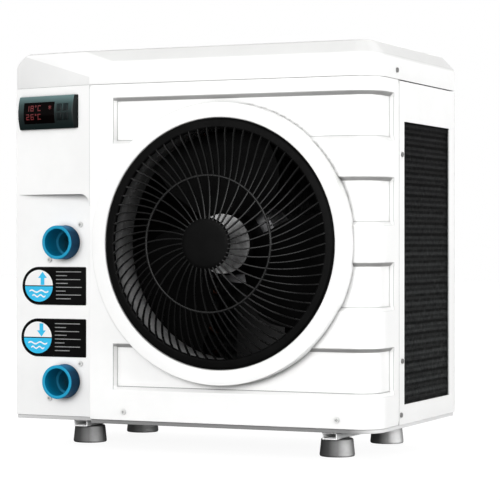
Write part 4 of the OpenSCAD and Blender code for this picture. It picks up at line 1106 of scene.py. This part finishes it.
# The bars that each glyph lights on a seven-segment digit
SEGMENTS = {"1": "bc", "8": "abcdefg", "2": "abged", "6": "acdefg", "C": "adef"}
DIGIT_W, DIGIT_H, DIGIT_T, DIGIT_PITCH = 4.8, 6.8, 1.0, 7.2
LIFTS = (-PANE_INSET - 0.02, -PANE_INSET + 0.13)    # the bars' back and front, from the bezel's curve


def add_bar(build, u0, u1, z0, z1):
    """A thin lit bar on the display, lying on the pane's curve."""
    build.loft([[on_face(u, barrel(z) + lift, z) for u, lift in
                 ((u0, LIFTS[0]), (u1, LIFTS[0]), (u1, LIFTS[1]), (u0, LIFTS[1]))] for z in (z0, z1)])


def add_glyph(build, glyph, u, z):
    w, h, t = DIGIT_W, DIGIT_H, DIGIT_T
    m = z + h / 2
    bars = {"a": (u, u + w, z + h - t, z + h), "d": (u, u + w, z, z + t),
            "g": (u, u + w, m - t / 2, m + t / 2), "f": (u, u + t, m, z + h), "e": (u, u + t, z, m),
            "b": (u + w - t, u + w, m, z + h), "c": (u + w - t, u + w, z, m)}
    for key in SEGMENTS[glyph]:
        add_bar(build, *bars[key])


def add_degree(build, u, z):
    """A small square ring, high on the line."""
    size, t = 2.2, 0.7
    low, high = z + DIGIT_H - size, z + DIGIT_H
    add_bar(build, u, u + size, low, low + t)
    add_bar(build, u, u + size, high - t, high)
    add_bar(build, u, u + t, low, high)
    add_bar(build, u + size - t, u + size, low, high)


def add_star(build, u, z):
    """Three crossed bars."""
    for k in range(3):
        a = math.radians(60 * k + 30)
        du, dz = 2.6 * math.cos(a), 2.6 * math.sin(a)
        nu, nz = -0.4 * math.sin(a), 0.4 * math.cos(a)
        outline = [(u - du - nu, z - dz - nz), (u + du - nu, z + dz - nz),
                   (u + du + nu, z + dz + nz), (u - du + nu, z - dz + nz)]
        build.loft([[on_face(p, barrel(q) + lift, q) for p, q in outline] for lift in LIFTS])


def build_digits():
    d = Build()
    for z, text in ((396.6, "18"), (386.4, "26")):
        u = WIN_U[0] + 4.0
        for glyph in text:
            add_glyph(d, glyph, u, z)
            u += DIGIT_PITCH
        add_degree(d, u, z)
        add_glyph(d, "C", u + 4.4, z)
    add_star(d, WIN_U[1] - 7.5, 400.4)
    d.piece("display_digits", "window_dark", sharp=30, finishes=("digit_red",))


build_bezel()
build_pane()
build_key("power", KEY_U[0], KEY_Z[1])
build_key("mode", KEY_U[1], KEY_Z[1])
build_key("up", KEY_U[0], KEY_Z[0])
build_key("down", KEY_U[1], KEY_Z[0])
build_digits()


# ---------- CAD pieces that are shown as they are ----------

SLOT_OF = {p["node"]: p["material_slot"] for p in frame["record"]["subparts"]}
SOFT = {"base_tray": 0.6, "rail_left": 0.8, "rail_right": 0.8,
        "electrical_box": 1.0, "electrical_box_lid": 0.8, "motor_housing": 1.2}
OWN_FINISH = {"fan_nut": "clamp_steel", "front_panel_screws": "bright_zinc", "socket_screws": "bright_zinc",
              "rail_left": "rail_steel", "rail_right": "rail_steel", "rear_panel": "rear_steel_inner_shade"}
for name, obj in nodes.items():
    obj.data.materials.clear()
    obj.data.materials.append(FINISHES[OWN_FINISH.get(name, SLOT_OF[name])])
    if name in SOFT:
        weld = obj.modifiers.new("weld", "WELD")
        weld.merge_threshold = 2e-6
        soften(obj, SOFT[name], 2, 40)


# ---------- floor, world, lights and camera ----------

def build_floor():
    """A pale floor that looks as white as the backdrop, and still takes a shadow."""
    half, drop = 9000 * MM, 0.4 * MM
    corners = [(-half, -half, -drop), (half, -half, -drop), (half, half, -drop), (-half, half, -drop)]
    floor = mesh_object("floor", corners, [(0, 1, 2, 3)])
    mat = surface("floor_pale", grey(0.09), grey(0.10), 0.7, mottle=3, bump=0.05, specular=0.05)
    tree = mat.node_tree
    seen = add_node(tree, "LightPath")["Is Camera Ray"]
    glow = add_node(tree, "Math", {0: seen, 1: 0.93}, operation="MULTIPLY")
    connect(tree, tree.nodes["Principled BSDF"], {"Emission Strength": glow["Value"]})
    floor.data.materials.append(mat)


def build_world():
    """A white backdrop for the camera, and a sky that is brightest at the horizon for the light."""
    world = bpy.data.worlds.new("studio")
    scene.world = world
    world.use_nodes = True
    tree = world.node_tree
    tree.nodes.clear()
    coord = add_node(tree, "TexCoord")
    split = add_node(tree, "SeparateXYZ", {"Vector": coord["Generated"]})
    up = add_node(tree, "MapRange", {"From Min": -0.25, "From Max": 0.8, "Value": split["Z"]})
    sky = ramp(tree, up["Result"], [(0.0, (0.30, 0.30, 0.31)), (0.24, grey(0.90)), (0.6, grey(0.70)),
                                    (1.0, grey(0.45))])
    lit = add_node(tree, "Background", {"Color": sky, "Strength": 0.95})
    backdrop = add_node(tree, "Background", {"Color": (1, 1, 1, 1)})
    seen = add_node(tree, "LightPath")["Is Camera Ray"]
    mix = add_node(tree, "MixShader", {"Fac": seen, 1: lit["Background"], 2: backdrop["Background"]})
    add_node(tree, "OutputWorld", {"Surface": mix["Shader"]})


def add_light(name, spot, target, size, power):
    """An area light at a spot, turned to a target, in metres and watts."""
    data = bpy.data.lights.new(name, "AREA")
    data.shape = "RECTANGLE"
    data.size, data.size_y = size
    data.energy = power
    lamp = in_scene(name, data)
    lamp.location = spot
    lamp.rotation_euler = (Vector(target) - Vector(spot)).to_track_quat("-Z", "Y").to_euler()


def build_camera():
    """Level with the cabinet's middle, and turned 24 degrees from its front."""
    data = bpy.data.cameras.new("photo_view")
    data.sensor_width = 36.0
    data.lens = 145.2
    data.shift_y = -0.02
    data.clip_end = 50
    camera = in_scene("photo_view", data)
    camera.location = Vector((1011.75, -2206.0, 242.8)) * MM
    camera.rotation_euler = (math.radians(90), 0, math.radians(24))
    scene.camera = camera


build_floor()
build_world()
add_light("key", (0.1, -3.1, 0.8), (0, 0, 0.25), (2.6, 1.4), 76)
add_light("side", (2.8, -0.3, 0.6), (0.2, 0, 0.25), (1.6, 1.0), 54)
add_light("back", (-1.6, 3.2, 1.3), (0, 0, 0.25), (2.2, 1.4), 34)
build_camera()
scene.view_settings.view_transform = "Standard"
scene.view_settings.look = "None"
